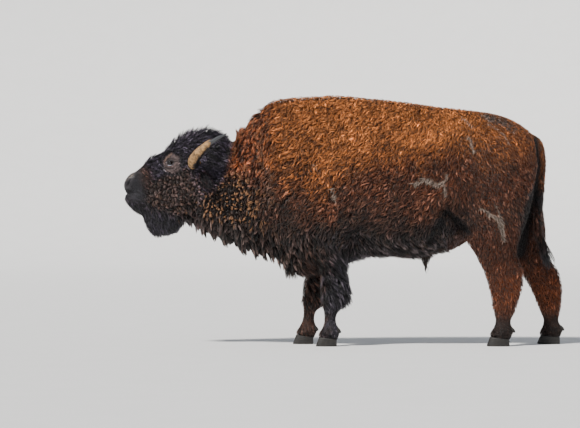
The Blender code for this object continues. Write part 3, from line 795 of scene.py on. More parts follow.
# The line of the mouth on either side: along the bull, outward and up.
MOUTH = [
    (NOSE_X + 0.018, 0.0, EYE.z - 0.214), (NOSE_X + 0.041, 0.045, EYE.z - 0.227),
    (NOSE_X + 0.062, 0.062, EYE.z - 0.241), (NOSE_X + 0.090, 0.074, EYE.z - 0.252),
    (NOSE_X + 0.130, 0.082, EYE.z - 0.260),
]
# How far the front of the muzzle is drawn forward at each height over the floor.
PROFILE = (
    (0.90, 0.000), (0.94, 0.008), (0.975, 0.012), (1.00, 0.018), (1.035, 0.024), (1.055, 0.022),
    (1.067, 0.010), (1.078, 0.016), (1.10, 0.014), (1.125, 0.012), (1.145, 0.009), (1.165, 0.004),
    (1.19, 0.000),
)


def sculpt_muzzle(points, normals):
    """Nostrils, the cleft between them, the mouth line, lips and the folds behind."""
    x, y, z = points.T
    side = np.abs(y)
    push = np.zeros(len(x))
    nostril = np.stack((x - (NOSE_X + 0.037), side - 0.053, z - (EYE.z - 0.143)), axis=1)
    lean = nostril @ np.array((-0.62, 0.0, -0.78))
    rise = nostril @ np.array((-0.78, 0.0, 0.62))
    hollow = np.exp(-((lean / 0.019) ** 2) - ((rise + 0.35 * lean) / 0.0095) ** 2)
    hollow *= bump(nostril[:, 1], 0, 0.028)
    rim = np.exp(-((lean / 0.030) ** 2) - ((rise + 0.35 * lean) / 0.021) ** 2)
    rim *= bump(nostril[:, 1], 0, 0.03)
    push += 0.007 * rim - 0.030 * hollow
    cleft = bump(side, 0, 0.0045) * smooth(-x, -(NOSE_X + 0.055), -(NOSE_X + 0.015))
    push -= 0.0045 * cleft * smooth(z, EYE.z - 0.215, EYE.z - 0.18)
    gap = path_distance(np.stack((x, side, z), axis=1), MOUTH)
    fade = fall(x, NOSE_X + 0.11, NOSE_X + 0.15)
    push -= 0.007 * bump(gap, 0, 0.0045) * fade
    push += 0.0018 * bump(gap, 0.013, 0.008) * fade
    creases = np.sin((x + 0.4 * z) * 2 * pi / 0.017 + 2.2 * waves(points, 0.05, 41))
    push += 0.0009 * creases * bump(x, NOSE_X + 0.14, 0.05) * smooth(side, 0.02, 0.05)
    push += 0.0006 * waves(points, 0.009, 42) * fall(x, NOSE_X + 0.05, NOSE_X + 0.09)
    moved = points + normals * push[:, None]
    forward = np.interp(z, *zip(*PROFILE)) * fall(x, NOSE_X + 0.03, NOSE_X + 0.13)
    moved[:, 0] -= forward
    dip = bump(x, NOSE_X + 0.075, 0.035) * smooth(normals[:, 2], 0.2, 0.8) * smooth(z, 1.14, 1.18)
    moved[:, 2] -= 0.014 * dip
    return moved


# Which way the eye's opening points in side view: forward and down.
OPENING = (0.93, 0.37)
# The eyeball's radius, how far its middle lies inward of the CAD eye's, and how deep its socket is.
EYE_BALL = 0.0195
EYE_SINK = -0.0050
SOCKET_DEPTH = 0.010
# Ridges and folds about each eye: a side-view path from the eye, its half width and its height.
EYE_FOLDS = (
    (((-0.046, 0.004), (-0.020, 0.038), (0.005, 0.060), (0.035, 0.052)), 0.009, 0.0065),
    (((-0.034, -0.034), (-0.001, -0.046), (0.030, -0.036)), 0.005, -0.0040),
    (((-0.038, -0.046), (0.017, -0.064)), 0.007, 0.0030),
    (((0.022, 0.000), (0.052, 0.010)), 0.004, -0.0030),
)


def sculpt_eyes(points):
    """Lids round each eyeball, with the folds above and below them."""
    skin = bpy.context.scene.bison_skin
    x, y, z = points.T
    side = np.sign(y)
    forward, down = OPENING
    ahead = -((x - EYE.x) * forward + (z - EYE.z) * down)
    rise = (z - EYE.z) * forward - (x - EYE.x) * down
    out = np.abs(y) - EYE_SIDE
    near = smooth(-np.hypot(ahead, rise), -0.075, -0.045) * smooth(out, -0.04, -0.01)
    half_width, half_height = skin.lid_width / 2, skin.lid_height / 2
    ratio = np.hypot(ahead / half_width, (rise - 0.1 * ahead) / half_height)
    ball = np.sqrt(np.maximum(EYE_BALL**2 - ahead**2 - rise**2, 0)) + EYE_SINK
    opening = fall(ratio, 0.92, 1.08)
    lid = bump(ratio, 1.22, 0.30) * (1 - opening)
    target = np.maximum(out, ball + 0.0018)
    out_new = out * (1 - lid) + target * lid
    out_new = out_new * (1 - opening) - SOCKET_DEPTH * opening
    place = flattened(points - np.array(EYE))
    crease = bump(np.hypot(ahead / half_width, rise / half_height), 1.85, 0.20)
    crease *= smooth(rise, -0.002, 0.010)
    out_new -= 0.0025 * crease * (1 - opening)
    for path, half, height in EYE_FOLDS:
        out_new += height * bump(path_distance(place, side_line(path)), 0, half) * (1 - opening)
    out_new += 0.0012 * waves(points, 0.016, 43) * smooth(ratio, 1.5, 2.5)
    moved = points.copy()
    moved[:, 1] = y + side * (out_new - out) * near
    return moved


def sculpt_ears(points, normals, weights):
    """Hollows out the inner face of each ear."""
    inner = smooth(-normals[:, 0], 0.15, 0.75) * weights["ear"]
    tip = smooth(np.abs(points[:, 1]), 0.20, 0.24)
    return points - normals * (0.010 * inner * tip)[:, None]


def sculpt_folds(points, normals, weights):
    """Loose skin over the shoulder, the flank fold and the hollow behind the elbow."""
    _, y, z = points.T
    push = 0.004 * waves(points, 0.22, 44) * weights["trunk"]
    push -= 0.012 * clefts(points, weights) + 0.012 * creases(points) * (1 - weights["tail"])
    flank = path_distance(flattened(points), side_line(FLANK_FOLD))
    push -= 0.018 * bump(flank, 0, 0.030) * weights["trunk"] * smooth(np.abs(y), 0.08, 0.16)
    push += 0.008 * bump(flank, 0.075, 0.035) * weights["trunk"]
    push += 0.006 * fall(z, 0.085, 0.135) * weights["foot"]
    for distance in dewclaw_distances(points):
        push += 0.009 * bump(distance, 0, 0.028)
    return points + normals * push[:, None]


def dewclaw_distances(points):
    """How far each point is from the middle of each dewclaw in turn."""
    for toe in TOES:
        yield np.linalg.norm(points - np.array(middle(f"dewclaw_{toe}")), axis=1)


def surface_tree(mesh):
    """A mesh's surface, ready to be asked for its nearest place."""
    mesh.calc_loop_triangles()
    corners = [tuple(each.vertices) for each in mesh.loop_triangles]
    return BVHTree.FromPolygons([each.co for each in mesh.vertices], corners)


def gaps(points, normals, tree):
    """How far each point stands out from a surface, along its own normal."""
    found = np.zeros(len(points))
    for index, (point, normal) in enumerate(zip(points, normals)):
        place = tree.find_nearest(Vector(point))[0]
        found[index] = (point - np.array(place)) @ normal
    return np.clip(found, -0.03, 0.03)


def make_skin():
    """The skin, rounded over the joints of the flesh and sunk below it by the depth of the coat."""
    skin = bpy.context.scene.bison_skin
    body = joined_flesh()
    apply_modifier(body, "DISPLACE", strength=0.0012, mid_level=0.0)
    apply_modifier(body, "REMESH", mode="VOXEL", voxel_size=skin.voxel)
    flesh = surface_tree(body.data)
    apply_modifier(body, "SMOOTH", factor=0.5, iterations=skin.relax)
    points, normals = points_of(body.data), normals_of(body.data)
    weights = zones(points, normals)
    sink = coat_depth(points, weights) + gaps(points, normals, flesh)
    move_points(body.data, points - normals * sink[:, None])
    apply_modifier(body, "SMOOTH", factor=0.5, iterations=3)
    for chosen in (near_face, near_features, near_eyes):
        refine(body, chosen)
    points, normals = points_of(body.data), normals_of(body.data)
    weights = zones(points, normals)
    points = sculpt_folds(points, normals, weights)
    points = sculpt_ears(points, normals, weights)
    points = sculpt_muzzle(points, normals)
    points = sculpt_eyes(points)
    move_points(body.data, points)
    return body


# ---------------------------------------------------------------- the coat


# For each part: the tufts' length, half width, lift in degrees and how much of it they lose on the
# way to the tip, how far they wind, how thick they stand on the ground, how far they gather into
# locks, and the locks to a square metre.
GROWTH = {
    "": (0.054, 0.0021, 30, 1.3, 0.44, 1.16, 0.88, 6000),
    "shoulder": (0.060, 0.0022, 33, 1.3, 0.54, 1.10, 0.88, 5400),
    "rump": (0.040, 0.0022, 33, 1.3, 0.50, 1.18, 0.88, 6000),
    "belly": (0.056, 0.0024, 44, 0.7, 0.25, 1.00, 0.92, 1700),
    "neck": (0.062, 0.0025, 42, 1.2, 0.85, 1.06, 0.85, 2700),
    "brisket": (0.072, 0.0024, 32, 1.1, 0.45, 1.10, 0.82, 1500),
    "head": (0.037, 0.0019, 47, 0.9, 0.15, 1.75, 0.84, 4200),
    "nub": (0.031, 0.0029, 80, 1.0, 1.60, 1.20, 0.93, 2900),
    "cheek": (0.036, 0.0023, 52, 1.3, 1.20, 1.75, 0.90, 2500),
    "bonnet": (0.104, 0.0020, 69, 0.3, 0.08, 1.60, 0.88, 3600),
    "nape": (0.066, 0.0026, 46, 0.8, 0.30, 1.15, 0.84, 2200),
    "eye_patch": (0.012, 0.0011, 22, 1.0, 0.00, 4.20, 0.20, 9000),
    "beard": (0.044, 0.0019, 18, 1.0, 0.08, 1.30, 0.60, 3600),
    "hind": (0.036, 0.0023, 34, 1.1, 0.40, 1.00, 0.86, 4800),
    "fore": (0.038, 0.0024, 34, 1.0, 0.25, 0.98, 0.84, 2900),
    "pantaloon": (0.082, 0.0021, 34, 0.6, 0.18, 1.20, 0.84, 1900),
    "fringe": (0.080, 0.0024, 52, 0.3, 0.12, 1.45, 0.91, 800),
    "foot": (0.017, 0.0018, 22, 1.0, 0.00, 1.00, 0.30, 6000),
    "muzzle": (0.014, 0.0012, 20, 1.0, 0.00, 3.60, 0.30, 9000),
    "ear": (0.038, 0.0020, 38, 0.8, 0.15, 1.60, 0.60, 4200),
    "tail": (0.034, 0.0022, 20, 1.0, 0.10, 1.20, 0.55, 3400),
    "sheath": (0.075, 0.0022, 14, 1.0, 0.05, 1.80, 0.93, 500),
}
GROWTH_NAMES = ("length", "width", "lift", "bend", "curl", "density", "gather", "locks")


def coat_values(points, normals, weights):
    """What GROWTH says for each point, blended between the parts that it belongs to."""
    x, _, z = points.T
    values = {}
    for column, name in enumerate(GROWTH_NAMES):
        parts = [(part, row[column]) for part, row in GROWTH.items() if part]
        values[name] = blend(parts, weights, GROWTH[""][column])
    back = smooth(normals[:, 0], -0.1, 0.7) * weights["pantaloon"]
    long_tail = weights["tail"] * smooth(-z, -1.16, -1.02)
    values["length"] += 0.018 * back + 0.085 * long_tail
    brow = bump(np.hypot(x - EYE.x + 0.175, z - EYE.z - 0.03), 0, 0.05)
    values["length"] += 0.030 * brow * weights["head"]
    values["lift"] += 24 * brow * weights["head"]
    values["length"] *= 1 - 0.55 * creases(points)
    coronet = weights["foot"] * fall(z, 0.10, 0.15)
    values["length"] += 0.016 * coronet
    values["density"] += 0.9 * weights["foot"]
    for distance in dewclaw_distances(points):
        values["length"] *= 1 - 0.6 * bump(distance, 0, 0.026)
    crest = bump(x, 1.05, 0.14) * smooth(normals[:, 2], 0.5, 0.9) * weights["trunk"]
    values["lift"] += 20 * crest
    rear = smooth(x, EYE.x + 0.12, EYE.x + 0.22)
    crown = rear * fall(x, EYE.x + 0.37, EYE.x + 0.41)
    peak = bump(x, EYE.x + 0.300, 0.050)
    values["length"] += (0.034 * crown + 0.030 * peak - 0.030 * (rear - crown)) * weights["bonnet"]
    values["length"] *= 1 - 0.45 * elbow_hollow(x) * weights["belly"]
    spiked = 1.30 - 1.9 * np.abs(parting(points))
    values["length"] *= 1 - weights["fringe"] * (1 - spiked)
    bare = bare_face(points)
    values["density"] *= 1 - bare
    values["locks"] *= 1 - 0.9 * bare
    return values


def nose_pad(points, edge):
    """The bare front of the nose, back to this far from its tip."""
    x, _, z = points.T
    return fall(x - 0.35 * (z - EYE.z + 0.12), NOSE_X + 0.045, NOSE_X + edge)


def bare_face(points):
    """Where no hair grows: the nose pad, the lips and the edges of the lids."""
    x, y, z = points.T
    side = np.abs(y)
    pad = nose_pad(points, 0.070) * smooth(z, EYE.z - 0.19, EYE.z - 0.17)
    lips = fall(path_distance(np.stack((x, side, z), axis=1), MOUTH), 0.003, 0.007)
    eye = np.sqrt((x - EYE.x) ** 2 + (side - EYE_SIDE) ** 2 + ((z - EYE.z) * 1.35) ** 2)
    return np.clip(np.maximum(np.maximum(pad, lips), fall(eye, 0.024, 0.029)), 0, 1)


def scatter(mesh, density, random):
    """Roots spread evenly over the skin: their faces' corners and the share of each corner."""
    mesh.calc_loop_triangles()
    count = len(mesh.loop_triangles)
    corners = np.empty(count * 3, np.int32)
    mesh.loop_triangles.foreach_get("vertices", corners)
    loops = np.empty(count * 3, np.int32)
    mesh.loop_triangles.foreach_get("loops", loops)
    areas = np.empty(count, np.float32)
    mesh.loop_triangles.foreach_get("area", areas)
    corners, loops = corners.reshape(-1, 3), loops.reshape(-1, 3)
    wanted = areas * density[corners].mean(axis=1)
    edges = np.concatenate(([0.0], np.cumsum(wanted)))
    total = int(edges[-1])
    spots = (np.arange(total) + random.uniform(size=total)) * edges[-1] / total
    faces = np.clip(np.searchsorted(edges, spots, side="right") - 1, 0, count - 1)
    first, second = random.uniform(size=(2, total))
    over = first + second > 1
    first[over], second[over] = 1 - first[over], 1 - second[over]
    shares = np.stack((1 - first - second, first, second), axis=1)
    return corners[faces], loops[faces], shares


def gather(values, corners, shares):
    """The value at each root, from the corners of its face."""
    picked = values[corners]
    if picked.ndim == 3:
        return np.einsum("ijk,ij->ik", picked, shares)
    return np.einsum("ij,ij->i", picked, shares)


# Side of the patch on the skin's own map that each tuft lies on.
PATCH = 0.003
DOWN = np.array((0.0, 0.0, -1.0))
# How deep in the skin each tuft is rooted.
ROOT_DEPTH = 0.003


def strands(rows, rings):
    """The centre line of each tuft: its root, and one place for every ring, out to its tip."""
    normal, flow = rows["normal"], rows["flow"]
    across = np.cross(normal, flow)
    lift, spin = np.radians(rows["lift"])[:, None], rows["spin"][:, None]
    place = rows["point"] - normal * ROOT_DEPTH
    found = [place]
    for ring in range(rings):
        share = ring / max(rings - 1, 1)
        rise = lift * (0.8 + rows["bend"][:, None] * (0.5 - share))
        sway = spin * share
        heading = (flow * np.cos(sway) + across * np.sin(sway)) * np.cos(rise) + normal * np.sin(rise)
        heading = unit(heading + rows["droop"][:, None] * share * DOWN)
        place = place + heading * rows["length"][:, None] / rings
        found.append(place)
    return found


def leaning_strands(roots, locks, rings):
    """The tufts' centre lines, each drawn towards its lock's more and more on the way to the tip."""
    own = strands(roots, rings)
    shared = strands({key: value[roots["lock"]] for key, value in locks.items()}, rings)
    offset = own[0] - shared[0]
    ahead = np.sum(offset * roots["flow"], axis=1, keepdims=True) * roots["flow"]
    offset = 0.07 * offset + 0.62 * ahead * roots["stretch"][:, None]
    centres = []
    for ring, (mine, theirs) in enumerate(zip(own, shared)):
        share = (roots["gather"] * (ring / rings) ** 0.9)[:, None]
        centres.append(mine * (1 - share) + (theirs + offset) * share)
    return centres


def spike_faces(rings):
    """The triangles of one three-sided spike: its closed foot, its sides and its tip."""
    sides = ((0, 2), (2, 1), (1, 0))
    faces = [(0, 1, 2)]
    for low in range(0, 3 * (rings - 1), 3):
        for a, b in sides:
            faces += [(low + a, low + b, low + 3 + b), (low + a, low + 3 + b, low + 3 + a)]
    last = 3 * (rings - 1)
    faces += [(last + a, last + b, last + 3) for a, b in sides]
    return np.array(faces)[:, ::-1]


def tuft_mesh(name, roots, locks, rings):
    """One mesh of all these tufts. Each is a bent three-sided spike that leans into its lock."""
    count = len(roots["point"])
    centres = leaning_strands(roots, locks, rings)
    points, along, u, v = [], [], [], []
    for ring in range(rings):
        share = ring / rings
        heading = unit(centres[ring + 1] - centres[max(ring - 1, 0)])
        wide = unit(np.cross(heading, roots["normal"]) + 1e-6)
        thick = np.cross(wide, heading)
        swell = 0.80 + 0.45 * sin(pi * min(share * 1.25 + 0.12, 1.0)) + roots["swell"] * share
        radius = roots["width"][:, None] * np.reshape(swell, (-1, 1))
        centre = centres[ring]
        points += [centre + wide * radius, centre - wide * radius, centre + thick * radius * 0.7]
        along += [share] * 3
        u += [0.5, -0.5, 0.0]
        v += [share - 0.5] * 3
    points.append(centres[rings])
    along.append(1.0)
    u.append(0.0)
    v.append(0.5)
    size = len(points)
    starts = (np.arange(count) * size)[:, None, None]
    corners = (spike_faces(rings)[None] + starts).reshape(-1, 3)
    mesh = triangle_mesh(name, np.stack(points, axis=1).reshape(-1, 3), corners)
    store(mesh, "coat_along", np.tile(along, count))
    store(mesh, "coat_tint", np.repeat(roots["tint"], size, axis=0))
    store(mesh, "coat_tan", np.repeat(roots["tan"], size))
    patch = np.repeat(roots["uv"], size, axis=0)
    patch = patch + PATCH * np.tile(np.stack((u, v), axis=1), (count, 1))
    layer = mesh.uv_layers.new(name=BAKE_MAP)
    layer.data.foreach_set("uv", patch[corners.ravel()].astype(np.float32).ravel())
    return mesh


def triangle_mesh(name, points, corners):
    """A smooth-shaded mesh made straight from arrays of points and triangles."""
    mesh = bpy.data.meshes.new(name)
    mesh.vertices.add(len(points))
    mesh.vertices.foreach_set("co", points.astype(np.float32).ravel())
    mesh.loops.add(corners.size)
    mesh.loops.foreach_set("vertex_index", corners.astype(np.int32).ravel())
    mesh.polygons.add(len(corners))
    mesh.polygons.foreach_set("loop_start", np.arange(0, corners.size, 3, dtype=np.int32))
    mesh.polygons.foreach_set("use_smooth", np.ones(len(corners), bool))
    mesh.update(calc_edges=True)
    return mesh


# Where along the bull the flank's and the rump's pieces begin.
FLANK_START = 0.0
RUMP_START = 0.72


def coat_pieces(roots, weights):
    """Which roots belong to which coat piece, with the rings of its tufts."""
    x, y, _ = roots["point"].T
    names = ("head", "neck", "trunk", "fore", "hind", "tail", "ear")
    best = np.argmax(np.stack([weights[name] for name in names]), axis=0)
    part = {name: best == index for index, name in enumerate(names)}
    trunk = part["trunk"]
    beard = part["head"] & (weights["beard"] > 0.5)
    found = []
    for side, here in (("left", y < 0), ("right", y >= 0)):
        for name, chosen, rings in (
            ("head", part["head"] & ~beard, 2), ("neck", part["neck"], 3),
            ("shoulder", trunk & (x < FLANK_START), 2),
            ("flank", trunk & (x >= FLANK_START) & (x < RUMP_START), 2),
            ("rump", trunk & (x >= RUMP_START), 2),
            ("foreleg", part["fore"], 2), ("hindleg", part["hind"], 2),
        ):
            found.append((f"coat_{name}_{side}", chosen & here, rings))
    found.append(("coat_beard", beard, 2))
    found.append(("coat_tail", part["tail"], 3))
    found.append(("coat_ears", part["ear"], 2))
    return found


class Ground:
    """The skin's surface with every value that the coat is grown from."""

    def __init__(self, mesh):
        self.mesh = mesh
        self.points, self.normals = points_of(mesh), normals_of(mesh)
        self.weights = zones(self.points, self.normals)
        self.values = coat_values(self.points, self.normals, self.weights)
        uv = np.empty(len(mesh.loops) * 2, np.float32)
        mesh.uv_layers[BAKE_MAP].data.foreach_get("uv", uv)
        self.uv = uv.reshape(-1, 2).astype(float)

    def sow(self, density, random):
        """Scattered roots, with their place, normal, lie and growth, and their shares of each part."""
        corners, loops, shares = scatter(self.mesh, density, random)
        rows = {"point": gather(self.points, corners, shares)}
        rows["normal"] = unit(gather(self.normals, corners, shares))
        rows["uv"] = gather(self.uv, loops, shares)
        here = {name: gather(value, corners, shares) for name, value in self.weights.items()}
        rows["flow"] = flow_of(rows["point"], rows["normal"], here)
        for name in ("length", "width", "lift", "bend", "curl", "gather"):
            rows[name] = gather(self.values[name], corners, shares)
        rows["lift"] *= 1 + 0.45 * smooth(rows["normal"][:, 2], 0.5, 0.9) * here["trunk"]
        rows["lift"] *= 1 - 0.35 * smooth(rows["normal"][:, 2], 0.2, 0.7) * here["neck"]
        hanging = here["beard"] + here["brisket"] + here["belly"] + here["pantaloon"] + here["tail"]
        hanging = np.clip(hanging + here["fringe"] + here["sheath"], 0, 1)
        rows["droop"] = 0.12 + 0.45 * hanging + 0.20 * here["neck"] - 0.12 * here["bonnet"]
        rows["droop"] += 0.5 * here["fringe"]
        return rows, here


# How many of the nearest locks each tuft chooses from.
NEIGHBOURS = 8


def own_lock(roots, locks):
    """The lock of each tuft. Locks reach further along the lie of the coat than across it."""
    tree = KDTree(len(locks["point"]))
    for index, place in enumerate(locks["point"]):
        tree.insert(place, index)
    tree.balance()
    near = [[found[1] for found in tree.find_n(place, NEIGHBOURS)] for place in roots["point"]]
    near = np.array(near)
    arm = locks["point"][near] - roots["point"][:, None]
    ahead = np.einsum("ijk,ik->ij", arm, roots["flow"])
    reach = np.sum(arm * arm, axis=2) - ahead**2 * (0.80 * roots["stretch"])[:, None]
    return near[np.arange(len(near)), np.argmin(reach, axis=1)]


# How far locks and tufts stray from the lie of the coat, in radians.
STRAY = np.radians(9)


def sow_locks(ground, random):
    """The locks that the tufts lean into, each with its own path, shade and chance of bleaching."""
    locks, _ = ground.sow(ground.values["locks"], random)
    total = len(locks["point"])
    locks["flow"] = turned(locks["flow"], locks["normal"], STRAY * random.normal(size=total))
    locks["length"] *= random.uniform(0.82, 1.15, total)
    locks["lift"] *= random.uniform(0.70, 1.30, total)
    locks["spin"] = locks["curl"] * random.normal(size=total) * 1.2
    locks["shade"] = 0.58 * random.normal(size=total)
    locks["tan"] = random.uniform(size=total)
    return locks


def sow_tufts(ground, locks, random):
    """Tufts rooted all over the skin, each a little different, each in its lock."""
    density = ground.values["density"] * bpy.context.scene.bison_coat.density
    roots, here = ground.sow(density, random)
    count = len(roots["point"])
    woolly = here["nub"] + here["fringe"] + here["bonnet"]
    woolly = woolly + here["nape"] + here["cheek"] + here["sheath"]
    roots["stretch"] = np.clip(1 - woolly, 0, 1)
    roots["lock"] = own_lock(roots, locks)
    roots["flow"] = turned(roots["flow"], roots["normal"], STRAY * random.normal(size=count))
    roots["length"] *= random.uniform(0.75, 1.15, count)
    roots["width"] *= random.uniform(0.75, 1.30, count)
    roots["lift"] *= random.uniform(0.75, 1.25, count)
    roots["spin"] = locks["spin"][roots["lock"]] + 0.25 * random.normal(size=count)
    roots["gather"] = np.clip(roots["gather"] * random.uniform(0.82, 1.08, count), 0, 0.98)
    roots["swell"] = 0.35 * here["nub"][:, None]
    here["scar"], here["bald"] = markings(roots["point"], here)
    return roots, here


def shade_tufts(roots, here, locks, random):
    """Colours each tuft, with bright and dark locks that differ most on the dark parts: partly the
    hair's own uneven tone, partly painted glints.
    """
    tint = tint_of(roots["point"], roots["normal"], here)
    shade = 0.28 * random.normal(size=len(tint)) + locks["shade"][roots["lock"]]
    # Painted highlights: on the dark parts the spread of bright locks is widened to stand for glints of
    # light on the black hair.
    deep = here["belly"] + here["pantaloon"] + here["fore"] + here["cheek"] + here["bonnet"]
    power = 0.92 + 1.1 * np.clip(deep + here["brisket"] + 0.5 * here["head"], 0, 1)
    power += 0.55 * fall(roots["point"][:, 2], 0.95, 1.35) * here["trunk"]
    power += 0.5 * np.clip(here["belly"] + here["pantaloon"], 0, 1)
    power += 0.45 * here["neck"] - 0.35 * here["cheek"]
    power *= 1 - 0.7 * here["scar"]
    shade = np.clip(np.exp(power * shade - 0.07 * power**2), 0.08, 7.0)
    shade = np.minimum(shade, 7.0 - 4.4 * here["cheek"])
    # Painted highlights: the brightest locks of the darker tints are paled towards grey, as glints.
    paler = np.array((0.42, 0.36, 0.33)) * tint.sum(axis=1, keepdims=True)
    dull = 0.40 * smooth(shade, 1.0, 3.0) * fall(tint.sum(axis=1), 0.14, 0.45)
    dull *= 1 - 0.8 * np.clip(here["cheek"] + here["head"] - here["bonnet"], 0, 1)
    roots["tint"] = mix(tint, paler, dull) * shade[:, None]


def bleach_tufts(roots, here, locks, random):
    """Gives some of the curled locks tan tips."""
    x, _, z = roots["point"].T
    front = fall(x, EYE.x + 0.14, EYE.x + 0.25)
    curls = here["nub"] * (1 - 0.86 * front) + 0.50 * here["neck"] * (1 - here["fringe"])
    curls += 0.6 * here["cheek"] * bump(z, EYE.z - 0.37, 0.07)
    waved = bump(x, NAPE.x + 0.165, 0.095) * bump(z, 0.96, 0.13)
    curls = (curls + 0.90 * waved) * (1 - here["fringe"]) + 0.12 * here["trunk"]
    patches = smooth(waves(roots["point"], 0.16, 53), -1.0, 0.2)
    chosen = smooth(0.34 * patches - locks["tan"][roots["lock"]], -0.04, 0.04)
    roots["tan"] = np.clip(curls, 0, 1) * chosen * random.uniform(0.45, 1, len(x))


def trim_tufts(roots, here):
    """Shortens the hair of rubbed places, and in the partings shortens it and darkens its tint as
    painted shade.
    """
    roots["length"] *= 1 - 0.10 * here["scar"] - 0.50 * here["bald"] * (1 - here["scar"])
    roots["lift"] *= 1 + 0.30 * here["scar"]
    cleft = clefts(roots["point"], here)
    roots["length"] *= 1 - 0.65 * cleft
    # Painted shade: the tint in the partings is darkened for the shade between the clumps.
    roots["tint"] = roots["tint"] * (1 - 0.93 * cleft)[:, None]
    roots["tan"] *= 1 - cleft


def grow_coat(skin):
    """Tufts over the whole skin, in one piece for each part of the body."""
    random = np.random.default_rng(bpy.context.scene.bison_coat.seed)
    ground = Ground(skin.data)
    locks = sow_locks(ground, random)
    roots, here = sow_tufts(ground, locks, random)
    shade_tufts(roots, here, locks, random)
    bleach_tufts(roots, here, locks, random)
    trim_tufts(roots, here)
    material = coat_material()
    dark = ("head", "beard", "foreleg", "tail", "ears")
    for name, chosen, rings in coat_pieces(roots, here):
        picked = {key: value[chosen] for key, value in roots.items()}
        piece = bpy.data.objects.new(name, tuft_mesh(name, picked, locks, rings))
        bpy.context.scene.collection.objects.link(piece)
        piece.data.materials.append(material)
        settle(piece, name, "coat_dark" if any(word in name for word in dark) else "coat_brown")


# ---------------------------------------------------------------- materials


def node_tree(name):
    """A new material with its node tree and its Principled shader."""
    material = bpy.data.materials.new(name)
    material.use_nodes = True
    tree = material.node_tree
    return material, tree, tree.nodes["Principled BSDF"]


def feed(tree, node, inputs):
    """Sets a node's inputs, each from a plain value, a colour or another node's output."""
    for key, value in inputs.items():
        socket = node.inputs[key]
        if isinstance(value, bpy.types.NodeSocket):
            tree.links.new(value, socket)
        else:
            socket.default_value = (*value, 1) if socket.type == "RGBA" else value


def add(tree, kind, inputs=(), **properties):
    """A node with its properties and what its inputs are fed with."""
    made = tree.nodes.new(kind)
    for name, value in properties.items():
        setattr(made, name, value)
    feed(tree, made, dict(inputs))
    return made


def attribute(tree, name, output="Fac"):
    """One of the mesh's own attributes."""
    return add(tree, "ShaderNodeAttribute", attribute_name=name).outputs[output]


def object_place(tree):
    """The place on the object, in its own frame."""
    return add(tree, "ShaderNodeTexCoord").outputs["Object"]


def noise(tree, place, scale, detail=2.0, roughness=0.5):
    """The outputs of a noise of this scale."""
    values = {"Vector": place, "Scale": scale, "Detail": detail, "Roughness": roughness}
    return add(tree, "ShaderNodeTexNoise", values).outputs


def ramp(tree, source, *stops):
    """A colour ramp fed by a value. Each stop is a place and a grey or a colour."""
    made = add(tree, "ShaderNodeValToRGB", {"Fac": source})
    while len(made.color_ramp.elements) < len(stops):
        made.color_ramp.elements.new(0.5)
    for element, (place, colour) in zip(made.color_ramp.elements, stops):
        element.position = place
        element.color = (*colour, 1) if hasattr(colour, "__len__") else (colour, colour, colour, 1)
    return made.outputs["Color"]


def blended(tree, first, second, share, kind="MIX"):
    """A Mix node on colours. Each side is a colour or a link, and the share a value or a link."""
    made = add(tree, "ShaderNodeMix", data_type="RGBA", blend_type=kind)
    sides = [index for index, socket in enumerate(made.inputs) if socket.type == "RGBA"]
    feed(tree, made, {0: share, sides[0]: first, sides[1]: second})
    return [socket for socket in made.outputs if socket.type == "RGBA"][0]


def multiplied(tree, first, second):
    """One colour times another."""
    return blended(tree, first, second, 1.0, "MULTIPLY")


def relief(tree, height, strength, distance):
    """A normal bent by a height."""
    values = {"Height": height, "Strength": strength, "Distance": distance}
    return add(tree, "ShaderNodeBump", values).outputs["Normal"]


def toned(colour, factor):
    """The same colour, lighter or darker."""
    return tuple(factor * part for part in colour)


def coat_colour_group():
    """Shared by skin and coat: the tint, broken up by fine noise, with painted shade that darkens it
    towards the root.
    """
    found = bpy.data.node_groups.get("coat_colour")
    if found:
        return found
    group = bpy.data.node_groups.new("coat_colour", "ShaderNodeTree")
    for name, way, kind in (
        ("Tint", "INPUT", "Color"), ("Along", "INPUT", "Float"), ("Root Shade", "INPUT", "Float"),
        ("Colour", "OUTPUT", "Color"), ("Fibre", "OUTPUT", "Float"),
    ):
        group.interface.new_socket(name, in_out=way, socket_type=f"NodeSocket{kind}")
    entry = add(group, "NodeGroupInput").outputs
    place = object_place(group)
    fine, broad = noise(group, place, 160.0, 3.0)["Fac"], noise(group, place, 22.0)["Fac"]
    colour = multiplied(group, entry["Tint"], ramp(group, fine, (0.30, 0.72), (0.70, 1.22)))
    colour = multiplied(group, colour, ramp(group, broad, (0.30, 0.86), (0.70, 1.12)))
    growth = ramp(group, entry["Along"], (0.15, 0.0), (0.90, 1.0))
    # Painted shade: the Root Shade share darkens the tint towards the root, for the shade between the
    # tufts and on the skin below them.
    dark = multiplied(group, colour, entry["Root Shade"])
    colour = blended(group, dark, colour, growth)
    add(group, "NodeGroupOutput", {"Colour": colour, "Fibre": fine})
    return group


def coat_colours(tree, tint, along, root_shade):
    """The outputs of the shared colour group, fed with a tint and a place along the hair."""
    inputs = {"Tint": tint, "Along": along, "Root Shade": root_shade}
    return add(tree, "ShaderNodeGroup", inputs, node_tree=coat_colour_group()).outputs


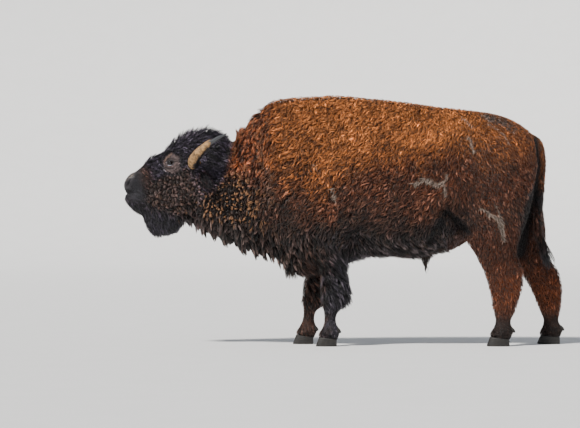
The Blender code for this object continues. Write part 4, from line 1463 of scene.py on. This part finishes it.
def coat_material():
    """Woolly hair: the tint of its root, darkened near the skin by painted shade, and bleached at some
    of the tips.
    """
    material, tree, shader = node_tree("coat_hair")
    along = attribute(tree, "coat_along")
    # Painted shade: a Root Shade of 0.06 darkens each tuft towards its root.
    hair = coat_colours(tree, attribute(tree, "coat_tint", "Color"), along, 0.06)
    tip = ramp(tree, along, (0.25, 0.0), (0.80, 1.0))
    tan = attribute(tree, "coat_tan")
    share = add(tree, "ShaderNodeMath", {0: tan, 1: tip}, operation="MULTIPLY").outputs[0]
    feed(tree, shader, {
        "Base Color": blended(tree, hair["Colour"], bpy.context.scene.bison_coat.tan, share),
        "Roughness": 0.40,
        "Specular IOR Level": 0.38,
        "Sheen Weight": 0.05,
        "Sheen Roughness": 0.5,
    })
    return material


def skin_material():
    """Hide under the coat: the same tint, a fine nap, and wet pebbled skin on the nose."""
    material, tree, shader = node_tree("skin_hide")
    tint, bare = attribute(tree, "coat_tint", "Color"), attribute(tree, "skin_bare")
    # Painted shade: with a Root Shade of 0.55 the hide is darkened wherever its nap is low, for the
    # shade under the coat.
    hair = coat_colours(tree, tint, attribute(tree, "skin_nap"), 0.55)
    place = object_place(tree)
    pebble = add(tree, "ShaderNodeTexVoronoi", {"Vector": place, "Scale": 260.0}).outputs["Distance"]
    grain = ramp(tree, pebble, (0.0, 1.0), (0.55, 0.0))
    mottle = ramp(tree, noise(tree, place, 45.0, 4.0)["Fac"], (0.30, 0.6), (0.75, 1.5))
    naked = multiplied(tree, tint, mottle)
    height = blended(tree, hair["Fibre"], grain, bare)
    feed(tree, shader, {
        "Base Color": blended(tree, hair["Colour"], naked, bare),
        "Roughness": ramp(tree, bare, (0.0, 0.78), (1.0, 0.46)),
        "Normal": relief(tree, height, 0.55, 0.0012),
        "Specular IOR Level": 0.4,
    })
    return material


def horn_material(name):
    """Rough tan sheath with dark cracks, over a smooth slate tip, with the bare horn painted darker
    towards the base as shadow.
    """
    material, tree, shader = node_tree(name)
    pale, slate = bpy.context.scene.bison_horn.sheath, bpy.context.scene.bison_horn.tip
    along, sheath = attribute(tree, "horn_along"), attribute(tree, "horn_sheath")
    lines = add(tree, "ShaderNodeCombineXYZ", {0: attribute(tree, "horn_round"), 1: along})
    streaks = {"Vector": lines.outputs[0], "Scale": (22.0, 3.0, 1.0)}
    streaks = add(tree, "ShaderNodeMapping", streaks).outputs[0]
    place = object_place(tree)
    grain = noise(tree, streaks, 1.0, 6.0, 0.7)
    pits = noise(tree, place, 240.0, 4.0)
    stains = noise(tree, place, 58.0, 5.0)
    fibre = grain["Fac"]
    rough = ramp(tree, fibre, (0.28, toned(pale, 0.35)), (0.48, pale), (0.75, toned(pale, 1.25)))
    rough = multiplied(tree, rough, ramp(tree, pits["Fac"], (0.36, 0.45), (0.52, 1.0)))
    rough = multiplied(tree, rough, ramp(tree, stains["Fac"], (0.40, 0.42), (0.58, 1.08)))
    tip = ramp(tree, fibre, (0.25, toned(slate, 0.45)), (0.55, slate), (0.8, toned(slate, 2.1)))
    # Painted shadow: the bare horn darkens towards the base.
    tip = multiplied(tree, tip, ramp(tree, along, (0.50, 0.16), (0.74, 1.0)))
    height = blended(tree, grain["Color"], pits["Color"], 0.35)
    feed(tree, shader, {
        "Base Color": blended(tree, tip, rough, sheath),
        "Roughness": ramp(tree, sheath, (0.0, 0.33), (1.0, 0.72)),
        "Normal": relief(tree, height, 0.7, 0.0015),
    })
    return material


def hoof_material():
    """Dull grey-black horn with rings of growth and a dusty lower edge."""
    material, tree, shader = node_tree("hoof_horn")
    place = object_place(tree)
    rings = {"Vector": place, "Scale": 26.0, "Distortion": 3.0, "Detail": 3.0}
    rings = add(tree, "ShaderNodeTexWave", rings, bands_direction="Z").outputs["Fac"]
    base = ramp(tree, rings, (0.0, (0.005, 0.0045, 0.0045)), (1.0, (0.012, 0.0105, 0.010)))
    dirt = ramp(tree, noise(tree, place, 60.0, 5.0)["Fac"], (0.45, 0.0), (0.75, 0.55))
    feed(tree, shader, {
        "Base Color": blended(tree, base, (0.032, 0.023, 0.016), dirt),
        "Roughness": 0.6,
        "Normal": relief(tree, rings, 0.5, 0.0012),
    })
    return material


def eye_material():
    """A dark wet eye: brown iris with a level oval pupil, and a dim reddish white."""
    material, tree, shader = node_tree("eye_wet")
    fibre = noise(tree, object_place(tree), 900.0, 3.0)["Fac"]
    brown = ramp(tree, fibre, (0.3, (0.003, 0.002, 0.002)), (0.7, (0.009, 0.005, 0.004)))
    white = ramp(tree, fibre, (0.3, (0.06, 0.035, 0.030)), (0.7, (0.12, 0.080, 0.070)))
    colour = blended(tree, white, brown, attribute(tree, "eye_iris"))
    feed(tree, shader, {
        "Base Color": blended(tree, colour, (0.004, 0.004, 0.005), attribute(tree, "eye_pupil")),
        "Roughness": 0.20,
        "Specular IOR Level": 0.15,
        "Coat Weight": 0.7,
        "Coat Roughness": 0.02,
    })
    return material


# ---------------------------------------------------------------- horns, eyes, hooves


# The horn's centre line as shares of its CAD box (back, outward, up), with its half thickness.
HORN_LINE = (
    (0.235, -0.550, 0.190, 0.0410), (0.202, 0.037, 0.220, 0.0395), (0.212, 0.420, 0.300, 0.0375),
    (0.318, 0.670, 0.460, 0.0340), (0.502, 0.757, 0.655, 0.0255), (0.725, 0.700, 0.828, 0.0155),
    (0.993, 0.490, 0.985, 0.0050),
)


def horn_line(side_name, side):
    """The places of one horn's centre line."""
    low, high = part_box(f"horn_{side_name}")
    outer, inner = (low.y, high.y) if side < 0 else (high.y, low.y)
    return [
        (low.x + b * (high.x - low.x), inner + o * (outer - inner), low.z + r * (high.z - low.z))
        for b, o, r, _ in HORN_LINE
    ]


def horn_tube(line):
    """A tapered tube along the horn's line."""
    bpy.ops.object.select_all(action="DESELECT")
    bpy.ops.curve.primitive_nurbs_path_add(radius=1, location=(0, 0, 0))
    curve = bpy.context.view_layer.objects.active
    data = curve.data
    data.splines.clear()
    spline = data.splines.new("BEZIER")
    spline.bezier_points.add(len(HORN_LINE) - 1)
    for point, place, row in zip(spline.bezier_points, line, HORN_LINE):
        point.co = place
        point.radius = row[3]
        point.handle_left_type = point.handle_right_type = "AUTO"
    data.dimensions = "3D"
    data.bevel_depth = 1.0
    data.bevel_resolution = 14
    data.resolution_u = 24
    data.use_fill_caps = True
    select_only(curve)
    bpy.ops.object.convert(target="MESH")

    def close():
        merge_doubles()
        bpy.ops.mesh.normals_make_consistent(inside=False)

    tube = bpy.context.view_layer.objects.active
    in_edit_mode(tube, "VERT", close)
    return tube


def along_line(points, line):
    """How far along a line each point lies, from 0 to 1, and the nearest place on it."""
    lengths = np.cumsum([0] + [np.linalg.norm(np.subtract(b, a)) for a, b in zip(line, line[1:])])
    best, along, foot = np.full(len(points), 9.0), np.zeros(len(points)), np.zeros((len(points), 3))
    for index, (a, b) in enumerate(zip(line, line[1:])):
        distance, share = segment_distance(points, a, b)
        closer = distance < best
        best[closer] = distance[closer]
        place = lengths[index] + share * (lengths[index + 1] - lengths[index])
        along[closer] = place[closer]
        foot[closer] = (np.array(a) + share[:, None] * np.subtract(b, a))[closer]
    return along / lengths[-1], foot


def make_horn(side_name, side):
    """One horn, its rough sheath standing proud of the smooth tip."""
    line = horn_line(side_name, side)
    horn = horn_tube(line)
    mesh = horn.data
    points, normals = points_of(mesh), normals_of(mesh)
    along, foot = along_line(points, line)
    arm = points - foot
    round_ = np.arctan2(arm[:, 1] * side, arm[:, 0] * 0.6 + arm[:, 2] * 0.8) / (2 * pi)
    ragged = 0.045 * waves(points, 0.020, 61) + 0.02 * waves(points, 0.008, 62)
    reach = np.linalg.norm(arm, axis=1)
    # Partly painted shadow: the sheath is left off the underside, so the dark bare horn there stands in
    # for the horn's shadow; the ragged edge is the sheath's own.
    under = (0.62 * arm[:, 0] - 0.78 * arm[:, 2]) / np.maximum(reach, 1e-4)
    worn = smooth(under + 5.0 * ragged + 0.3 * bump(along, 0.75, 0.1), 0.42, 0.60)
    sheath = 1 - np.maximum(smooth(along + ragged, 0.685, 0.705), worn)
    furrow = np.sin(round_ * 2 * pi * 17 + 3 * waves(points, 0.05, 63))
    rings = np.sin(along * 2 * pi * 13 + 2 * waves(points, 0.03, 64))
    push = sheath * (0.0030 + 0.0010 * furrow + 0.0014 * rings * fall(along, 0.35, 0.6))
    push += sheath * 0.0014 * waves(points, 0.009, 65)
    push -= (1 - sheath) * 0.0025 * fall(along, 0.75, 0.95)
    push += 0.0002 * furrow * (1 - sheath)
    move_points(mesh, points + normals * push[:, None])
    store(mesh, "horn_along", along)
    store(mesh, "horn_round", np.abs(round_))
    store(mesh, "horn_sheath", sheath)
    set_material(mesh, horn_material(f"horn_sheath_{side_name}"))
    shade_smooth(horn)
    return settle(horn, f"horn_bull_{side_name}", "horn", f"horn_{side_name}")


def make_eye(side_name, side):
    """An eyeball with a cornea that stands a little proud of it."""
    centre = Vector((EYE.x, side * (EYE_SIDE + EYE_SINK), EYE.z))
    bpy.ops.object.select_all(action="DESELECT")
    bpy.ops.mesh.primitive_uv_sphere_add(
        segments=48, ring_count=32, radius=EYE_BALL, location=centre, rotation=(pi / 2, 0, 0)
    )
    eye = bpy.context.view_layer.objects.active
    select_only(eye)
    bpy.ops.object.transform_apply(location=True, rotation=True, scale=True)
    mesh = eye.data
    points = points_of(mesh)
    arm = (points - np.array(centre)) / EYE_BALL
    gaze = unit(np.array([[-0.22, side * 0.97, 0.02]]))[0]
    facing = arm @ gaze
    cornea = smooth(facing, 0.74, 0.90)
    moved = points + arm * (0.0016 * cornea)[:, None]
    move_points(mesh, moved)
    level = arm - facing[:, None] * gaze
    forward, down = OPENING
    ahead = level @ np.array((-forward, 0, -down))
    rise = level @ np.array((-down, 0, forward))
    front = smooth(facing, 0, 0.1)
    store(mesh, "eye_iris", fall(np.hypot(ahead, rise), 0.80, 0.88) * front)
    pupil = np.hypot(ahead / 0.34, rise / 0.19)
    store(mesh, "eye_pupil", fall(pupil, 0.9, 1.1) * front)
    set_material(mesh, bpy.data.materials.get("eye_wet") or eye_material())
    shade_smooth(eye)
    return settle(eye, f"eyeball_{side_name}", "eye", f"eye_{side_name}")


def make_hoof(node, material, name):
    """The CAD claw with rounded edges and rings of growth on its wall."""
    hoof = own_copy(node)
    in_edit_mode(hoof, "VERT", merge_doubles)
    apply_modifier(hoof, "BEVEL", width=0.003, segments=2, limit_method="ANGLE")
    apply_modifier(hoof, "REMESH", mode="VOXEL", voxel_size=0.0040)
    apply_modifier(hoof, "SMOOTH", factor=0.5, iterations=2)
    mesh = hoof.data
    points, normals = points_of(mesh), normals_of(mesh)
    low = points[:, 2].min()
    wall = smooth(points[:, 2] - low, 0.003, 0.010) * smooth(-np.abs(normals[:, 2]), -0.8, -0.4)
    push = 0.0008 * np.sin(points[:, 2] * 2 * pi / 0.011 + waves(points, 0.05, 71)) * wall
    push += 0.0006 * waves(points, 0.02, 72) * wall
    points = points + normals * push[:, None]
    if "hoof" in node:
        points[points[:, 2] < 0.0025, 2] = 0.0
    move_points(mesh, points)
    set_material(mesh, material)
    shade_smooth(hoof)
    return settle(hoof, name, "hoof", node)


# ---------------------------------------------------------------- the stage


def paper_material():
    """Matt pale paper, very slightly uneven."""
    material, tree, shader = node_tree("studio_paper")
    grain = noise(tree, object_place(tree), 3.0)["Fac"]
    paper = (0.80, 0.80, 0.80)
    tone = ramp(tree, grain, (0.3, toned(paper, 0.98)), (0.7, paper))
    feed(tree, shader, {"Base Color": tone, "Roughness": 0.9})
    return material


# The backdrop: radius of its flat middle, radius of the sweep up round it, and the sweep's steps.
FLOOR_RADIUS = 26.0
SWEEP_RADIUS = 14.0
SWEEP_STEPS = 16


def make_floor():
    """A pale floor that sweeps up all round into a backdrop, like the inside of a bowl."""
    bpy.ops.object.select_all(action="DESELECT")
    bpy.ops.mesh.primitive_circle_add(
        vertices=128, radius=FLOOR_RADIUS, fill_type="NGON", location=(0, 0, 0)
    )
    floor = bpy.context.view_layer.objects.active
    floor.name = "studio_floor"

    def sweep():
        bpy.ops.mesh.select_all(action="SELECT")
        bpy.ops.mesh.region_to_loop()
        radius, turn = FLOOR_RADIUS, pi / (2 * SWEEP_STEPS)
        for step in range(1, SWEEP_STEPS + 1):
            angle = step * turn
            wider = FLOOR_RADIUS + SWEEP_RADIUS * sin(angle)
            rise = SWEEP_RADIUS * (cos(angle - turn) - cos(angle))
            bpy.ops.mesh.extrude_region_move(TRANSFORM_OT_translate={"value": (0, 0, rise)})
            bpy.ops.transform.resize(value=(wider / radius, wider / radius, 1))
            radius = wider

    in_edit_mode(floor, "EDGE", sweep)
    set_material(floor.data, paper_material())
    shade_smooth(floor)
    return floor


# Where along the bull, from nose to tail, the camera looks.
VIEW_SHARE = 0.3734
SENSOR_WIDTH = 36


def make_studio():
    """Floor, lights, world and the camera."""
    stage = bpy.context.scene.bison_stage
    make_floor()
    low, high = CAD_BOX
    bpy.ops.object.light_add(type="SUN")
    sun = bpy.context.view_layer.objects.active
    sun.name = "key"
    sun.rotation_euler = Vector((0.44, 0.48, -0.76)).to_track_quat("-Z", "Y").to_euler()
    sun.data.energy = 5.6
    sun.data.angle = radians(7)
    sun.data.color = (1.0, 0.965, 0.91)
    world = bpy.data.worlds.new("studio_sky")
    world.use_nodes = True
    sky = {"Color": (0.80, 0.88, 1.0), "Strength": 0.38}
    feed(world.node_tree, world.node_tree.nodes["Background"], sky)
    bpy.context.scene.world = world
    view_x = low[0] + VIEW_SHARE * (high[0] - low[0])
    place = (view_x, -stage.distance, stage.height)
    bpy.ops.object.camera_add(location=place, rotation=(pi / 2, 0, 0))
    camera = bpy.context.view_layer.objects.active
    camera.name = "camera"
    camera.data.sensor_width = SENSOR_WIDTH
    camera.data.lens = SENSOR_WIDTH * stage.distance / stage.width
    camera.data.clip_end = 200
    bpy.context.scene.camera = camera


# ---------------------------------------------------------------- operators


class BISON_OT_skin(bpy.types.Operator):
    """Joins the flesh into one skin and sculpts the face"""

    bl_idname = "bison.skin"
    bl_label = "Skin"

    def execute(self, context):
        body = make_skin()
        mesh = body.data
        points, normals = points_of(mesh), normals_of(mesh)
        weights = zones(points, normals)
        store(mesh, "coat_tint", tint_of(points, normals, weights))
        store(mesh, "skin_bare", bare_face(points))
        flat = np.clip(weights["muzzle"] + weights["eye_patch"] + weights["foot"], 0, 1)
        store(mesh, "skin_nap", 0.6 * flat)

        def unwrap():
            bpy.ops.mesh.select_all(action="SELECT")
            bpy.ops.uv.smart_project(angle_limit=radians(66), island_margin=0.002)

        in_edit_mode(body, "FACE", unwrap)
        mesh.uv_layers[0].name = BAKE_MAP
        set_material(mesh, skin_material())
        shade_smooth(body)
        settle(body, "bison_skin", "coat_brown", *FLESH)
        return {"FINISHED"}


class BISON_OT_coat(bpy.types.Operator):
    """Grows the coat's tufts from the skin"""

    bl_idname = "bison.coat"
    bl_label = "Coat"

    def execute(self, context):
        grow_coat(bpy.data.objects["bison_skin"])
        return {"FINISHED"}


class BISON_OT_horns(bpy.types.Operator):
    """Makes both horns"""

    bl_idname = "bison.horns"
    bl_label = "Horns"

    def execute(self, context):
        for side_name, side in SIDES:
            make_horn(side_name, side)
        return {"FINISHED"}


class BISON_OT_eyes(bpy.types.Operator):
    """Makes both eyeballs"""

    bl_idname = "bison.eyes"
    bl_label = "Eyes"

    def execute(self, context):
        for side_name, side in SIDES:
            make_eye(side_name, side)
        return {"FINISHED"}


class BISON_OT_hooves(bpy.types.Operator):
    """Makes the cloven hooves and the dewclaws"""

    bl_idname = "bison.hooves"
    bl_label = "Hooves"

    def execute(self, context):
        material = hoof_material()
        for toe in TOES:
            make_hoof(f"hoof_{toe}", material, f"claw_{toe}")
            make_hoof(f"dewclaw_{toe}", material, f"dewclaw_horn_{toe}")
        return {"FINISHED"}


class BISON_OT_stage(bpy.types.Operator):
    """Sets up the floor, the lights and the camera"""

    bl_idname = "bison.stage"
    bl_label = "Studio"

    def execute(self, context):
        make_studio()
        return {"FINISHED"}


class BISON_PT_panel(bpy.types.Panel):
    """Lists the steps in the order they run"""

    bl_idname = "BISON_PT_panel"
    bl_label = "Bison"
    bl_space_type = "VIEW_3D"
    bl_region_type = "UI"
    bl_category = "Bison"

    def draw(self, context):
        for step in STEPS:
            self.layout.operator(step.bl_idname)
        for name in SETTINGS:
            group = getattr(context.scene, name)
            for key in group.__annotations__:
                self.layout.prop(group, key)


STEPS = (
    BISON_OT_skin, BISON_OT_coat, BISON_OT_horns, BISON_OT_eyes, BISON_OT_hooves, BISON_OT_stage,
)
CLASSES = (*SETTINGS.values(), *STEPS, BISON_PT_panel)


def register():
    for each in CLASSES:
        bpy.utils.register_class(each)
    for name, kind in SETTINGS.items():
        setattr(bpy.types.Scene, name, PointerProperty(type=kind))


def unregister():
    for name in SETTINGS:
        delattr(bpy.types.Scene, name)
    for each in reversed(CLASSES):
        bpy.utils.unregister_class(each)


def main():
    register()
    for step in (
        bpy.ops.bison.skin, bpy.ops.bison.coat, bpy.ops.bison.horns, bpy.ops.bison.eyes,
        bpy.ops.bison.hooves, bpy.ops.bison.stage,
    ):
        step()


if __name__ == "__main__":
    main()
